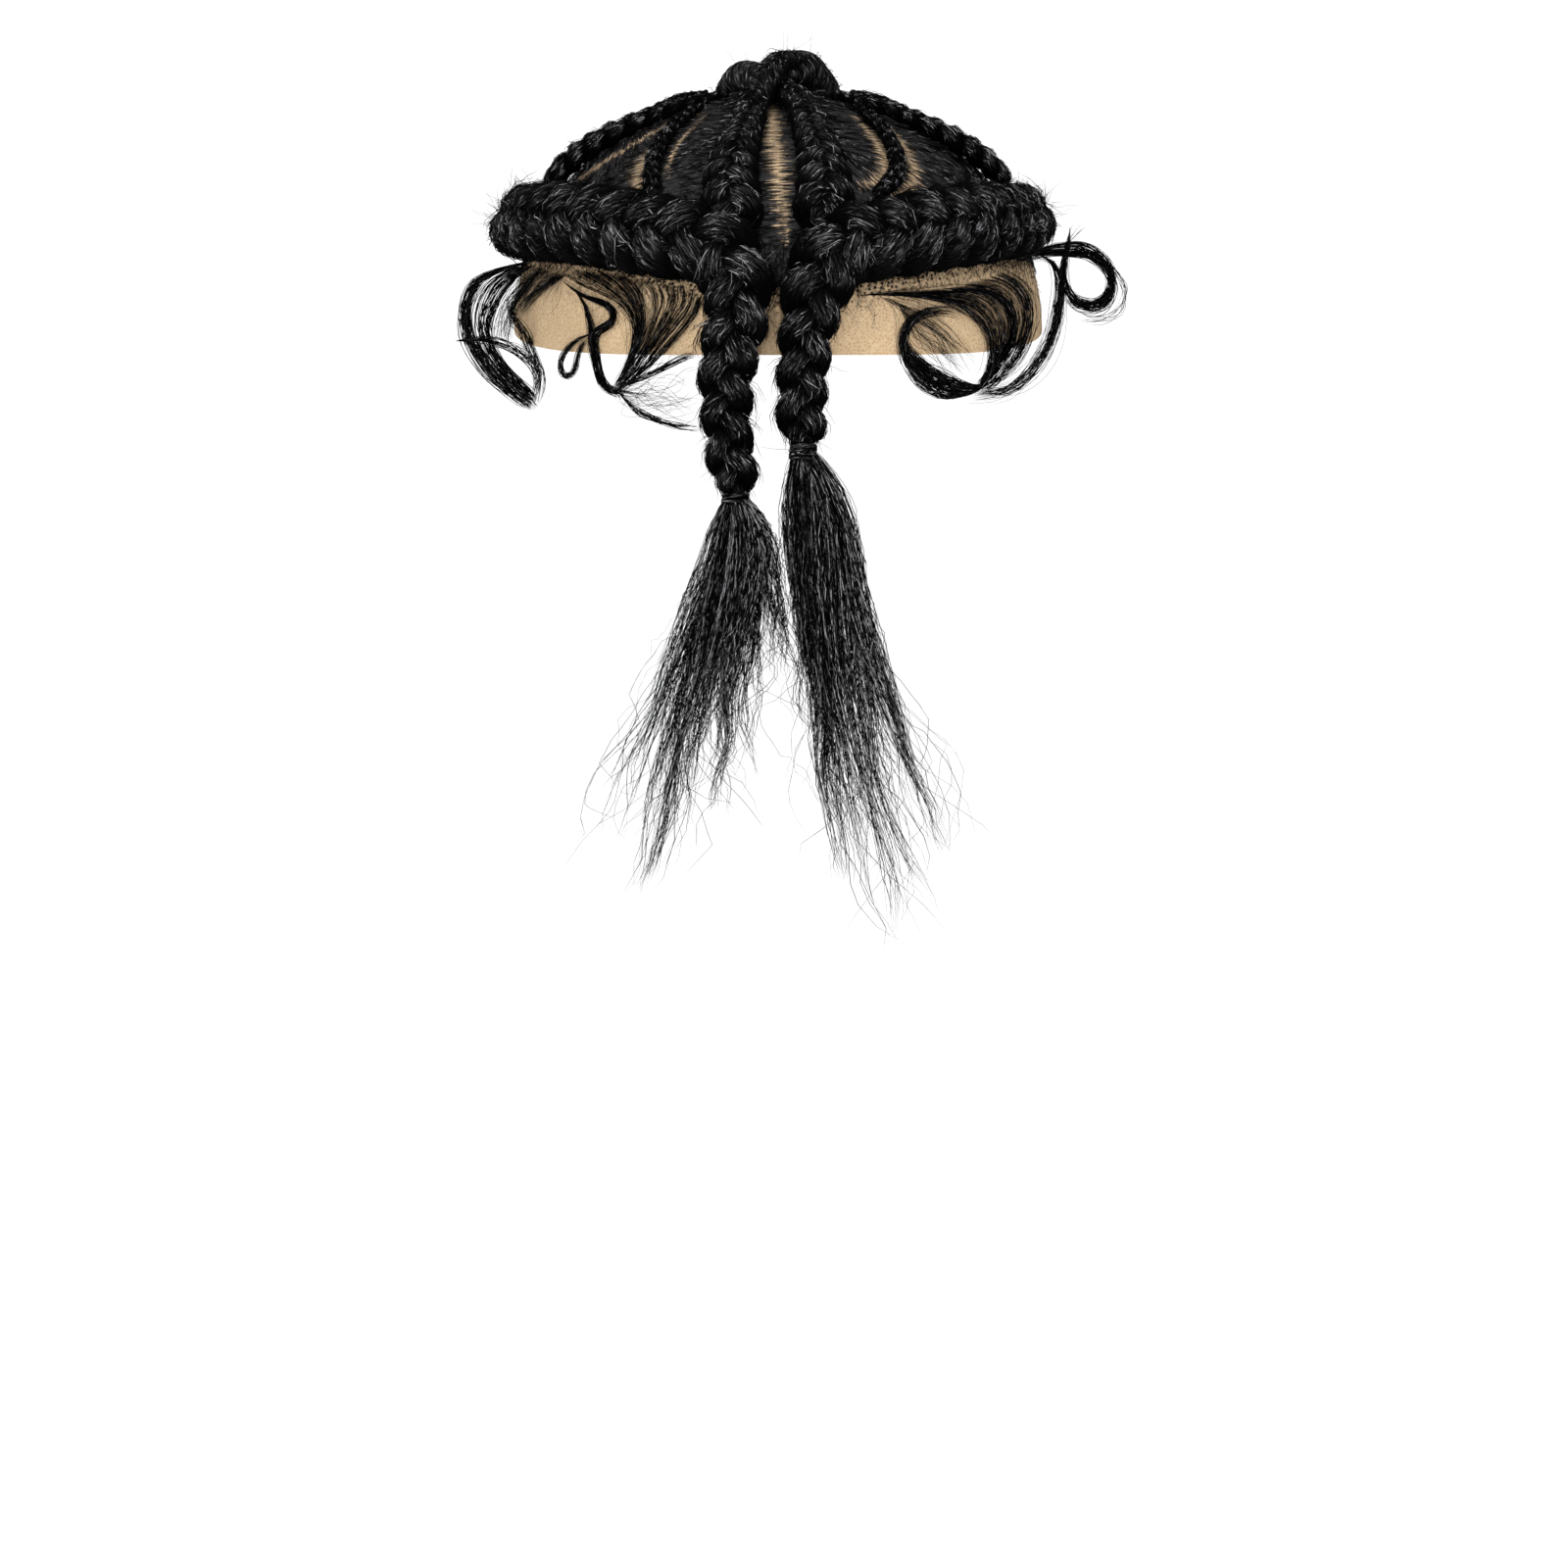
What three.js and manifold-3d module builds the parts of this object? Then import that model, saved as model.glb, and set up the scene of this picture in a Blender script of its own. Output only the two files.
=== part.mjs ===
// Cornrow toupee: a lace cap that carries plaits, two of which hang down the back as pigtails.
// Millimetres, +Z up, the wearer faces -Y. The origin is the crown of the head, inside the lace.
import * as THREE from 'three';
import { mergeVertices } from 'three/addons/utils/BufferGeometryUtils.js';
import loadManifold from 'manifold-3d';

const manifold = await loadManifold();
manifold.setup();

const HEAD = new THREE.Vector3(79.5, 96, 72); // half width, half length, crown to widest ring
const LACE = 1.2; // wall of the lace
const GAP = 0.3; // clearance between neighbouring pieces
const HAIR = '#1b1613';
const TAN = '#d8b790';

const { degToRad, lerp } = THREE.MathUtils;

// Point on the head: azimuth turns from the back to the wearer's left, polar runs down from the crown.
function headPoint(azimuth, polar, lift = 0) {
  const [a, p] = [degToRad(azimuth), degToRad(polar)];
  const unit = new THREE.Vector3(Math.sin(p) * Math.sin(a), Math.sin(p) * Math.cos(a), Math.cos(p));
  const normal = unit.clone().divide(HEAD).normalize();
  return unit.multiply(HEAD).addScaledVector(normal, lift).add(new THREE.Vector3(0, 0, -HEAD.z));
}

// Direction away from the head, level below the widest ring.
function outward(point) {
  const up = Math.max(0, point.z + HEAD.z);
  return new THREE.Vector3(point.x / HEAD.x ** 2, point.y / HEAD.y ** 2, up / HEAD.z ** 2).normalize();
}

// Moves a point that is too near the lace out to the clearance.
function clearOfLace(point) {
  const reach = HEAD.clone().addScalar(LACE + GAP);
  const centre = new THREE.Vector3(0, 0, -HEAD.z);
  const depth = point.clone().sub(centre).divide(reach).length();
  return depth < 1 ? point.sub(centre).divideScalar(depth).add(centre) : point;
}

// Welds a geometry into one closed body that faces out.
function closed(geometry) {
  geometry.deleteAttribute('normal');
  geometry.deleteAttribute('uv');
  const welded = mergeVertices(geometry, 1e-4);
  const p = welded.attributes.position;
  const corner = (i) => new THREE.Vector3().fromBufferAttribute(p, i);
  const faces = [];
  let volume = 0;
  for (let i = 0; i < welded.index.count; i += 3) {
    const face = [0, 1, 2].map((k) => welded.index.getX(i + k));
    if (new Set(face).size < 3) continue;
    const [a, b, c] = face.map(corner);
    volume += a.dot(b.cross(c));
    faces.push(face);
  }
  welded.setIndex((volume < 0 ? faces.map(([a, b, c]) => [a, c, b]) : faces).flat());
  welded.computeVertexNormals();
  return welded;
}

// Replaces each vertex of a geometry with the point that a function gives for it.
function mapped(geometry, place) {
  const p = geometry.attributes.position;
  const v = new THREE.Vector3();
  for (let i = 0; i < p.count; i++) p.setXYZ(i, ...place(v.fromBufferAttribute(p, i)));
  return closed(geometry);
}

// Lace: a turned profile of (share of the way to the edge, layer) laid over the head.
function laceBase() {
  const edge = (azimuth) => 82.5 + 18.2 * Math.cos(azimuth) + 7 * Math.sin(azimuth) ** 2;
  const shares = [0, 0.12, 0.26, 0.4, 0.55, 0.7, 0.85, 1];
  const profile = [
    ...shares.map((s) => new THREE.Vector2(s, 0)),
    ...shares.toReversed().map((s) => new THREE.Vector2(s, 1)),
  ];
  return mapped(new THREE.LatheGeometry(profile, 36), (v) => {
    const azimuth = Math.atan2(v.x, v.z);
    const share = Math.hypot(v.x, v.z);
    return headPoint((azimuth * 180) / Math.PI, share * edge(azimuth), v.y * LACE);
  });
}

// Tube along a spine of { at, width } rows. Each station is { t, phase } on the spine,
// and radius(angle, phase) is the section for a width of 1, angle 0 facing away from the head.
function sweep(spine, stations, sides, radius) {
  const curve = new THREE.CatmullRomCurve3(spine.map((row) => row.at));
  const rings = stations.map(({ t, phase }) => {
    const at = curve.getPoint(t);
    const along = curve.getTangent(t);
    const away = outward(at);
    away.addScaledVector(along, -away.dot(along)).normalize();
    return { at, away, across: along.cross(away), width: widthAt(spine, t), phase };
  });
  const tube = new THREE.CylinderGeometry(1, 1, 1, sides, rings.length - 1);
  return mapped(tube, (v) => {
    const ring = rings[Math.round((0.5 - v.y) * (rings.length - 1))];
    const angle = Math.atan2(v.x, v.z);
    const r = Math.hypot(v.x, v.z) * ring.width * radius(angle, ring.phase);
    const point = ring.at.clone();
    point.addScaledVector(ring.across, r * Math.sin(angle)).addScaledVector(ring.away, r * Math.cos(angle));
    return clearOfLace(point);
  });
}

function widthAt(spine, t) {
  const place = t * (spine.length - 1);
  const i = Math.min(Math.floor(place), spine.length - 2);
  return lerp(spine[i].width, spine[i + 1].width, place - i);
}

// Section of a three-strand plait at a phase of its pattern: the outline of three round strands.
function plaitSection(flat) {
  const [strand, swing] = [0.26, 0.24];
  const rise = flat / 2 - strand;
  return (angle, phase) => {
    const [s, c] = [Math.sin(angle), Math.cos(angle)];
    const hits = [0, 1, 2].map((k) => {
      const turn = phase + (k * 2 * Math.PI) / 3;
      const [u, v] = [swing * Math.sin(turn), rise * Math.sin(2 * turn)];
      const near = u * s + v * c;
      const inside = near ** 2 - u ** 2 - v ** 2 + strand ** 2;
      return inside > 0 ? near + Math.sqrt(inside) : 0;
    });
    return Math.max(0.16, ...hits);
  };
}

// Plait along a spine: its lobes are `lobe` widths apart on each edge, with `steps` rings to a lobe.
function plait(spine, { flat = 0.7, lobe = 0.5, steps = 2, sides = 8 } = {}) {
  const curve = new THREE.CatmullRomCurve3(spine.map((row) => row.at));
  const walk = 600; // points along the spine where the phase is read
  const turn = (2 * Math.PI) / 3;
  const first = turn / 4;
  const stations = [{ t: 0, phase: first }];
  let [phase, last] = [first, curve.getPoint(0)];
  for (let i = 1; i <= walk; i++) {
    const point = curve.getPoint(i / walk);
    phase += (turn * point.distanceTo(last)) / (lobe * widthAt(spine, i / walk));
    last = point;
    if (phase >= first + (stations.length * turn) / steps) stations.push({ t: i / walk, phase });
  }
  return sweep(spine, stations, sides, plaitSection(flat));
}

// Flat tapered lock along a spine.
function lock(spine, { flat = 0.5, rings = 14, sides = 6 } = {}) {
  const stations = Array.from({ length: rings }, (_, i) => ({ t: i / (rings - 1), phase: 0 }));
  return sweep(spine, stations, sides, (angle) =>
    1 / Math.hypot(Math.sin(angle) / 0.5, Math.cos(angle) / (0.5 * flat)));
}

// Spine rows that lie on the head, from rows of azimuth, polar, width and extra lift.
const onHead = (rows, side, flat = 0.7) => rows.map(([azimuth, polar, width, lift = 0]) => ({
  at: headPoint(side * azimuth, polar, LACE + GAP + (flat * width) / 2 + lift),
  width,
}));

// Spine rows in space, from rows of x, y, z and width.
const inSpace = (rows) => rows.map(([x, y, z, width]) => ({ at: new THREE.Vector3(x, y, z), width }));

function joined(geometries) {
  const solids = geometries.map((g) => new manifold.Manifold(new manifold.Mesh({
    numProp: 3,
    vertProperties: new Float32Array(g.attributes.position.array),
    triVerts: new Uint32Array(g.index.array),
  })));
  const { vertProperties, triVerts } = manifold.Manifold.union(solids).getMesh();
  const whole = new THREE.BufferGeometry();
  whole.setAttribute('position', new THREE.BufferAttribute(vertProperties, 3));
  whole.setIndex(Array.from(triVerts));
  whole.computeVertexNormals();
  return whole;
}

// Each table runs from the front or the crown to the back or the rim. Widths are in mm.
const RIM = {
  // azimuth, polar, width
  left: [[152, 57, 5], [140, 56, 9.5], [122, 58, 13.5], [104, 61.5, 16.5], [86, 65.5, 20], [68, 68.2, 23.5],
    [52, 70.2, 25.5], [38, 72.2, 26], [23, 75.5, 25.5], [11.8, 78.2, 24]],
  right: [[152, 57, 5], [140, 55, 9], [122, 56, 11], [104, 59, 13], [86, 63.2, 16], [68, 67, 20.5],
    [52, 70, 24.5], [38, 72.2, 26], [23, 75.5, 25.5], [11.8, 78.2, 24]],
};
const PIGTAIL = {
  // x, y, z, width
  left: [[11.4, 105, -67, 21.5], [13.2, 105, -80, 19], [15.2, 104.6, -95, 16.8], [14.4, 104.2, -110, 15],
    [12.8, 104, -121, 14.5], [12.3, 104, -125.5, 7.5]],
  right: [[-11.1, 105, -67, 20.5], [-8.6, 105, -79, 17], [-7.2, 104.6, -91, 15.4],
    [-6.8, 104.2, -101, 15], [-7.2, 104, -107.5, 14.5], [-7.3, 104, -111.5, 7.5]],
};
const CROWN = [
  // azimuth, polar, width
  [9.3, 68, 14], [10, 64.8, 18], [10.4, 60, 16.5], [9.9, 50.4, 13.5], [8.9, 41, 11.2],
];
const CROSSING = [
  // azimuth, polar, width, lift of the upper braid
  [8.2, 33.5, 10.8, 1.4], [0, 24.4, 9.8, 7.6], [-20, 14.5, 10.4, 4.6], [-93, 7.6, 11.4, 0], [-146, 18.5, 11.6, 0],
  [-158, 38, 10.5, 0], [-161, 54, 9, 0], [-162, 61, 5, 0],
];
const SIDE = [
  // azimuth, polar, width
  [28, 22.5, 3.4], [42, 30, 6], [52, 36.5, 8], [62, 43, 10], [72, 48.6, 11.4], [80, 53, 11], [83, 55.2, 7],
];
const TEMPLE = [
  // azimuth, polar, width
  [66, 17, 3.4], [88, 22.5, 5.6], [103, 31, 6.6], [110, 40, 7], [113, 46, 6.6], [114, 49.5, 4],
];
const CRESCENT = {
  // azimuth, polar, width
  left: [[34, 29.6, 3], [34.6, 35.5, 4.4], [35.6, 42, 5.2], [34.9, 49.2, 5.6], [33, 55.5, 5.6],
    [30.5, 61, 5.2], [29, 63.4, 3.6]],
  right: [[35.4, 29.8, 3], [34.6, 35.1, 4.4], [34.3, 42.2, 5.2], [33.3, 49.3, 5.6], [31, 55.6, 5.6],
    [26.7, 60.4, 5.4], [22.6, 63, 3.6]],
};
const TAIL = {
  // x of each lock in the body of the brush, then x, y and z of its tip and its width
  left: [[18, 47, 106, -222, 10], [16, 41, 99, -236, 10], [13.5, 34, 110, -232, 11], [11, 27, 99, -226, 11],
    [8.5, 19, 109, -216, 10], [6, 9, 101, -206, 9], [3.6, -2, 105, -192, 7]],
  right: [[-18.5, -45, 106, -224, 10], [-16.5, -40, 100, -240, 10], [-14, -34, 110, -250, 11],
    [-11.5, -28, 99, -244, 11], [-9, -22, 109, -232, 10], [-6.6, -15, 101, -216, 9],
    [-4.4, -9, 105, -196, 8]],
};
const SWIRL = {
  // azimuth, polar, width
  left: [[46, 83.5, 7], [38, 92, 6], [35, 101, 4.5], [37.5, 106.8, 4], [42, 104, 3.4], [43.5, 97.5, 2.8],
    [42.5, 92.5, 1.8]],
  right: [[50, 86, 8], [58, 91, 6.5], [58.5, 99, 5], [49.1, 105.8, 4.4], [38, 108, 4], [29.5, 104.2, 3.6],
    [26.2, 97.3, 3.2], [29, 91.5, 2.6], [33.5, 89.2, 1.6]],
};
const CURL = {
  // x, y, z, width
  left: [[81.6, 2, -56, 3.6], [89, -1, -58.5, 3.8], [95, -3, -65, 3.8], [95.6, -3, -73.5, 3.6],
    [90, -1, -83, 3.2], [81, 4, -91, 2.6], [75.5, 8, -95, 1.6]],
  right: [[-82, 2, -60, 3.6], [-89.5, 0, -65, 3.8], [-97.5, -2, -65.2, 3.8], [-103, -3, -60.4, 3.6],
    [-103.6, -4, -53, 3.4], [-99.5, -4, -47.6, 3], [-94.6, -4, -48, 2.4], [-93.4, -4, -53, 1.6]],
};

const TIE = { inner: 3.5, valley: 4.1, ridge: 4.6, height: 5.2, turns: 3, drop: 0.6 };

// Brush of loose hair: a neck inside the tie and locks that fan out below it, in one body.
function tail(foot, tips) {
  const root = TIE.drop + TIE.height; // depth of the tie's lower edge below the plait
  const neck = new THREE.CylinderGeometry(TIE.inner - 2 * GAP, TIE.inner - GAP, 2 * root, 10);
  neck.rotateX(Math.PI / 2);
  neck.translate(foot.x, foot.y, foot.z - GAP - root);
  // share of the way down, share of the spread from body to tip, share of the full width
  const rows = [[0.02, 0, 0.3], [0.22, 0, 0.9], [0.45, 0.3, 1], [0.68, 0.58, 0.9], [0.87, 0.82, 0.55],
    [1, 1, 0.12]];
  const locks = tips.map(([body, x, y, z, width]) => lock(rows.map(([down, spread, full], i) => ({
    at: new THREE.Vector3(
      i ? lerp(body, x, spread) : foot.x, lerp(foot.y, y, Math.sqrt(down)), lerp(foot.z - root, z, down)),
    width: width * full,
  })), { flat: 0.8, rings: 7 }));
  return joined([closed(neck), ...locks]);
}

// Tie: wound turns about the neck of a pigtail.
function tie(foot) {
  const outer = Array.from({ length: 2 * TIE.turns + 1 }, (_, i) =>
    new THREE.Vector2(i % 2 ? TIE.ridge : TIE.valley, (i * TIE.height) / (2 * TIE.turns)));
  const [bottom, top] = [new THREE.Vector2(TIE.inner, 0), new THREE.Vector2(TIE.inner, TIE.height)];
  const ring = new THREE.LatheGeometry([bottom, ...outer, top, bottom], 12);
  ring.rotateX(Math.PI / 2);
  ring.translate(foot.x, foot.y, foot.z - TIE.drop - TIE.height);
  return closed(ring);
}

const part = new THREE.Group();
part.name = 'cornrow_toupee';
function add(name, geometry, color) {
  const mesh = new THREE.Mesh(geometry, new THREE.MeshStandardMaterial({ color, roughness: 0.8 }));
  mesh.name = name;
  part.add(mesh);
}

add('lace_base', laceBase(), TAN);
for (const [name, side] of [['left', 1], ['right', -1]]) {
  const foot = PIGTAIL[name].at(-1).slice(0, 3);
  const end = new THREE.Vector3(...foot);
  // The left crown braid passes over the right one.
  const crossing = CROSSING.map(([a, p, w, lift]) => [a, p, w, side > 0 ? lift : 0]);
  add(`rim_braid_${name}`, plait([...onHead(RIM[name], side, 0.64), ...inSpace(PIGTAIL[name])],
    { flat: 0.64, lobe: 0.46, sides: 10 }), HAIR);
  add(`crown_braid_${name}`, plait(onHead([...CROWN, ...crossing], side, 0.6), { flat: 0.6 }), HAIR);
  add(`side_braid_${name}`, plait(onHead(SIDE, side), { lobe: 0.6, sides: 7 }), HAIR);
  add(`temple_braid_${name}`, plait(onHead(TEMPLE, side), { lobe: 0.65, sides: 6 }), HAIR);
  add(`crescent_braid_${name}`, plait(onHead(CRESCENT[name], side), { lobe: 0.85, sides: 6 }), HAIR);
  add(`tie_${name}`, tie(end), HAIR);
  add(`tail_${name}`, tail(end, TAIL[name]), HAIR);
  add(`edge_swirl_${name}`, lock(onHead(SWIRL[name], side, 0.4), { flat: 0.4, rings: 20 }), HAIR);
  add(`temple_curl_${name}`, lock(inSpace(CURL[name]), { flat: 0.7, rings: 20 }), HAIR);
}

export default part;
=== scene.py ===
# %% [markdown]
# # Cornrow toupee
# The piece is a cap of fine lace with black kinky hair knotted into it and plaited in cornrows.
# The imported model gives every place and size. This lesson keeps them and swaps the plain solids
# for lace and strands, so the look comes from hairs that are really there.

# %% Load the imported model
import math

import bpy
import numpy as np
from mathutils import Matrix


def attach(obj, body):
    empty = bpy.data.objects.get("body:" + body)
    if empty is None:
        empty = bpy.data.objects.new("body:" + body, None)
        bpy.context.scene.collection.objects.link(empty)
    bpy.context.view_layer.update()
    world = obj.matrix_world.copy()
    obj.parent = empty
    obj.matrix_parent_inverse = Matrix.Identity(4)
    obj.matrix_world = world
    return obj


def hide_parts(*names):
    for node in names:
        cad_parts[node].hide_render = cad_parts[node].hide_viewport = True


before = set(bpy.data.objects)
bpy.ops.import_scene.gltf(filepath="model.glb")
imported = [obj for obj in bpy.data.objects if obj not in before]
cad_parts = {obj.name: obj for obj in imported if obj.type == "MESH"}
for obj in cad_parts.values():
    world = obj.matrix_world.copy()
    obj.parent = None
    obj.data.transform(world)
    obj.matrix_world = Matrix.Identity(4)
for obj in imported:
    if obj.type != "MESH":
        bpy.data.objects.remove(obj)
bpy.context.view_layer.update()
MM = 0.001
chance = np.random.default_rng(11)
print("nodes in the model:", len(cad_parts))

# %% [markdown]
# ## Camera
# The photograph is a level view from behind, taken with a long lens. A camera two metres away
# keeps the near pigtails only a little larger than the far side, as there.

# %% Camera
PHOTO_SIDE = 1600
FOCAL_PIXELS = 7000
camera_data = bpy.data.cameras.new("camera")
camera_data.lens = camera_data.sensor_width * FOCAL_PIXELS / PHOTO_SIDE
camera = bpy.data.objects.new("camera", camera_data)
camera.location = (-1.8 * MM, 2100 * MM, -211 * MM)
camera.rotation_euler = (math.radians(90), 0, math.radians(180))
bpy.context.collection.objects.link(camera)
bpy.context.scene.camera = camera
bpy.context.scene.view_settings.view_transform = "Standard"
print("lens in mm:", round(camera_data.lens, 1))

# %% [markdown]
# ## Floor and light
# A white sweep hides the line where floor and wall meet: a plane with its back edge pulled up
# and the corner rounded. Black hair shows only by what it reflects, so wide soft lights stand
# on both sides of the camera and above.

# %% Floor and light
FLOOR_Z = -433 * MM
SWEEP_SIDE, SWEEP_HEIGHT, SWEEP_ROUNDING = 9, 4, 0.9  # metres
PAPER_GREY, PAPER_GLOW, ROOM_GLOW = 0.3, 0.9, 0.1
LIT_SPOT = np.array([0, 0.05, -0.08])  # metres, the middle of the cap, which the lights point at
SOFTBOXES = [  # name, place and size in metres, power in watts
    ("key_left", (1.0, 1.9, 0.85), 0.5, 22),
    ("key_right", (-1.2, 1.8, 0.7), 0.5, 18),
    ("top", (0, 0.5, 1.5), 0.7, 18),
    ("fill", (0.2, 2.2, -0.2), 0.6, 16)]
bpy.ops.object.select_all(action="DESELECT")
bpy.ops.mesh.primitive_plane_add(size=SWEEP_SIDE, location=(0, 0.5, FLOOR_Z))
sweep = bpy.context.active_object
sweep.name = "white_sweep"
bpy.ops.object.mode_set(mode="EDIT")
bpy.ops.mesh.select_mode(type="EDGE")
bpy.ops.mesh.select_all(action="DESELECT")
bpy.ops.object.mode_set(mode="OBJECT")
for edge in sweep.data.edges:
    edge.select = all(sweep.data.vertices[i].co.y < 0 for i in edge.vertices)
bpy.ops.object.mode_set(mode="EDIT")
bpy.ops.mesh.extrude_region_move(TRANSFORM_OT_translate={"value": (0, 0, SWEEP_HEIGHT)})
bpy.ops.object.mode_set(mode="OBJECT")
rounding = sweep.modifiers.new("rounding", "BEVEL")
rounding.width = SWEEP_ROUNDING
rounding.segments = 16
bpy.ops.object.modifier_apply(modifier="rounding")
bpy.ops.object.shade_smooth()
paper = bpy.data.materials.new("white_paper")  # plain and bright, so that it stays white in the picture
paper.use_nodes = True
paper_shader = paper.node_tree.nodes["Principled BSDF"]
paper_shader.inputs["Base Color"].default_value = (PAPER_GREY, PAPER_GREY, PAPER_GREY, 1)
paper_shader.inputs["Emission Color"].default_value = (1, 1, 1, 1)
paper_shader.inputs["Emission Strength"].default_value = PAPER_GLOW
sweep.data.materials.append(paper)
for name, place, size, power in SOFTBOXES:
    light = bpy.data.lights.new(name, "AREA")
    light.size = size
    light.energy = power
    lamp = bpy.data.objects.new(name, light)
    lamp.location = place
    aim = LIT_SPOT - np.array(place)
    tilt = math.atan2(math.hypot(aim[0], aim[1]), -aim[2])
    lamp.rotation_euler = (tilt, 0, math.atan2(-aim[0], aim[1]))
    bpy.context.collection.objects.link(lamp)
world = bpy.data.worlds.new("white_room")
world.use_nodes = True
world.node_tree.nodes["Background"].inputs["Color"].default_value = (1, 1, 1, 1)
world.node_tree.nodes["Background"].inputs["Strength"].default_value = ROOM_GLOW
bpy.context.scene.world = world
print("floor at mm:", FLOOR_Z / MM)

# %% [markdown]
# ## Materials
# Kinky synthetic hair is a thin crimped fibre with a soft gloss. Its colour is almost black, so
# the eye reads it by streaks of sheen, and those come from many fibres lying in one direction.
# Every hair carries a tone of its own, a painted sheen or shade in its colour, and the thick plies carry
# fine streaks along their length.

# %% Hair material


def linear(hex_colour):
    """An sRGB hex colour as linear RGBA."""
    srgb = [int(hex_colour[i:i + 2], 16) / 255 for i in (1, 3, 5)]
    return tuple(c / 12.92 if c <= 0.04045 else ((c + 0.055) / 1.055) ** 2.4 for c in srgb) + (1,)


def add_node(tree, kind, inputs=None, **settings):
    """Adds a node, sets its settings, and gives each named input a value or a link."""
    made = tree.nodes.new(kind)
    for key, value in settings.items():
        setattr(made, key, value)
    for socket, value in (inputs or {}).items():
        if isinstance(value, bpy.types.NodeSocket):
            tree.links.new(value, made.inputs[socket])
        else:
            made.inputs[socket].default_value = value
    return made


def new_material(name):
    material = bpy.data.materials.new(name)
    material.use_nodes = True
    return material, material.node_tree, material.node_tree.nodes["Principled BSDF"]


def noise(tree, vector, scale, detail, roughness):
    return add_node(tree, "ShaderNodeTexNoise", {
        "Vector": vector, "Scale": scale, "Detail": detail, "Roughness": roughness}).outputs["Fac"]


def stretched(tree, vector, scale):
    return add_node(tree, "ShaderNodeMapping", {"Vector": vector, "Scale": scale}).outputs["Vector"]


def remap(tree, value, low, high, bottom=0.0, top=1.0):
    """A value between low and high, moved to between bottom and top."""
    return add_node(tree, "ShaderNodeMapRange", {
        "Value": value, "From Min": low, "From Max": high,
        "To Min": bottom, "To Max": top}).outputs["Result"]


def combine(tree, operation, *values):
    return add_node(tree, "ShaderNodeMath", dict(enumerate(values)), operation=operation).outputs["Value"]


hair, tree, shader = new_material("kinky_synthetic_hair")
uv = add_node(tree, "ShaderNodeUVMap", uv_map="along_hair")
# The map is in metres: streaks about 0.6 mm wide and 4 mm long, with finer ones inside.
STREAKS = (1600, 260, 1)
streak = noise(tree, stretched(tree, uv.outputs["UV"], STREAKS), scale=1.0, detail=4.0, roughness=0.65)
sheen_and_shade = add_node(tree, "ShaderNodeAttribute", attribute_name="sheen_and_shade")
# Painted sheen and shade: the streaks times the tone, read through a ramp from black to light grey into the
# base colour.
painted_sheen = combine(tree, "MULTIPLY", remap(tree, streak, 0.42, 0.66), sheen_and_shade.outputs["Fac"])
shade = add_node(tree, "ShaderNodeValToRGB", {"Fac": painted_sheen})
shade.color_ramp.elements[0].color = linear("#000000")
shade.color_ramp.elements[1].color = linear("#b4b3b6")
for place, colour in ((0.25, "#0b0b0b"), (0.5, "#323233"), (0.75, "#626163")):
    shade.color_ramp.elements.new(place).color = linear(colour)
tree.links.new(shade.outputs["Color"], shader.inputs["Base Color"])
relief = add_node(tree, "ShaderNodeBump", {"Height": streak, "Strength": 1.0, "Distance": 0.8 * MM})
tree.links.new(relief.outputs["Normal"], shader.inputs["Normal"])
# Fibres in the gaps scatter light, and those on top shine.
tree.links.new(remap(tree, painted_sheen, 0.1, 0.7, 0.8, 0.34), shader.inputs["Roughness"])
shader.inputs["Specular IOR Level"].default_value = 0.03
# The sheen of hair is a band across the fibres, narrow along them.
shader.inputs["Anisotropic"].default_value = 0.7
girth = add_node(tree, "ShaderNodeTangent", direction_type="UV_MAP", uv_map="along_hair")
tree.links.new(girth.outputs["Tangent"], shader.inputs["Tangent"])
print("material:", hair.name)

# %% [markdown]
# ## Head form
# Every plait lies on the same rounded head. Places on it are given by two angles, as on a globe:
# azimuth turns from the back to the wearer's left, and polar runs down from the crown.
# The tables repeat the model's own routes, in degrees and millimetres.

# %% Head form
HEAD = np.array([79.5, 96, 72]) * MM
LACE = 1.2 * MM
GAP = 0.3 * MM


def unit(v):
    return v / np.maximum(np.linalg.norm(v, axis=-1, keepdims=True), 1e-12)


def square_to(v, along):
    """The direction of v, turned square to a unit vector."""
    return unit(v - along * np.sum(v * along, -1, keepdims=True))


def head_point(azimuth, polar, lift=0.0):
    """Points on the head, raised by a lift in metres."""
    a, p = np.radians(azimuth), np.radians(polar)
    ball = np.stack([np.sin(p) * np.sin(a), np.sin(p) * np.cos(a), np.cos(p) + 0 * a], -1)
    raised = ball * HEAD + unit(ball / HEAD) * np.asarray(lift)[..., None]
    return raised - [0, 0, HEAD[2]]


def to_head(points, lift):
    """Points moved onto the head form and raised by a lift."""
    ball = unit((points + [0, 0, HEAD[2]]) / HEAD)
    return ball * HEAD + unit(ball / HEAD) * lift[..., None] - [0, 0, HEAD[2]]


def edge_polar(azimuth):
    """The lower edge of the lace."""
    a = np.radians(azimuth)
    return 82.5 + 18.2 * np.cos(a) + 7 * np.sin(a) ** 2


def outside_lace(points):
    """Points, with those that would sink into the lace moved out onto it."""
    ball = (points + [0, 0, HEAD[2]]) / (HEAD + LACE)
    level = np.linalg.norm(ball, axis=-1, keepdims=True)
    azimuth = np.degrees(np.arctan2(ball[..., 0], ball[..., 1]))
    polar = np.degrees(np.arccos(unit(ball)[..., 2]))
    sunk = (level[..., 0] < 1) & (polar < edge_polar(azimuth))
    return np.where(sunk[..., None], ball / level * (HEAD + LACE) - [0, 0, HEAD[2]], points)


def outward(points):
    """Direction away from the head, level below the widest ring."""
    up = np.maximum(0, points[..., 2] + HEAD[2])
    return unit(np.stack([points[..., 0], points[..., 1], up], -1) / HEAD ** 2)


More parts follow.
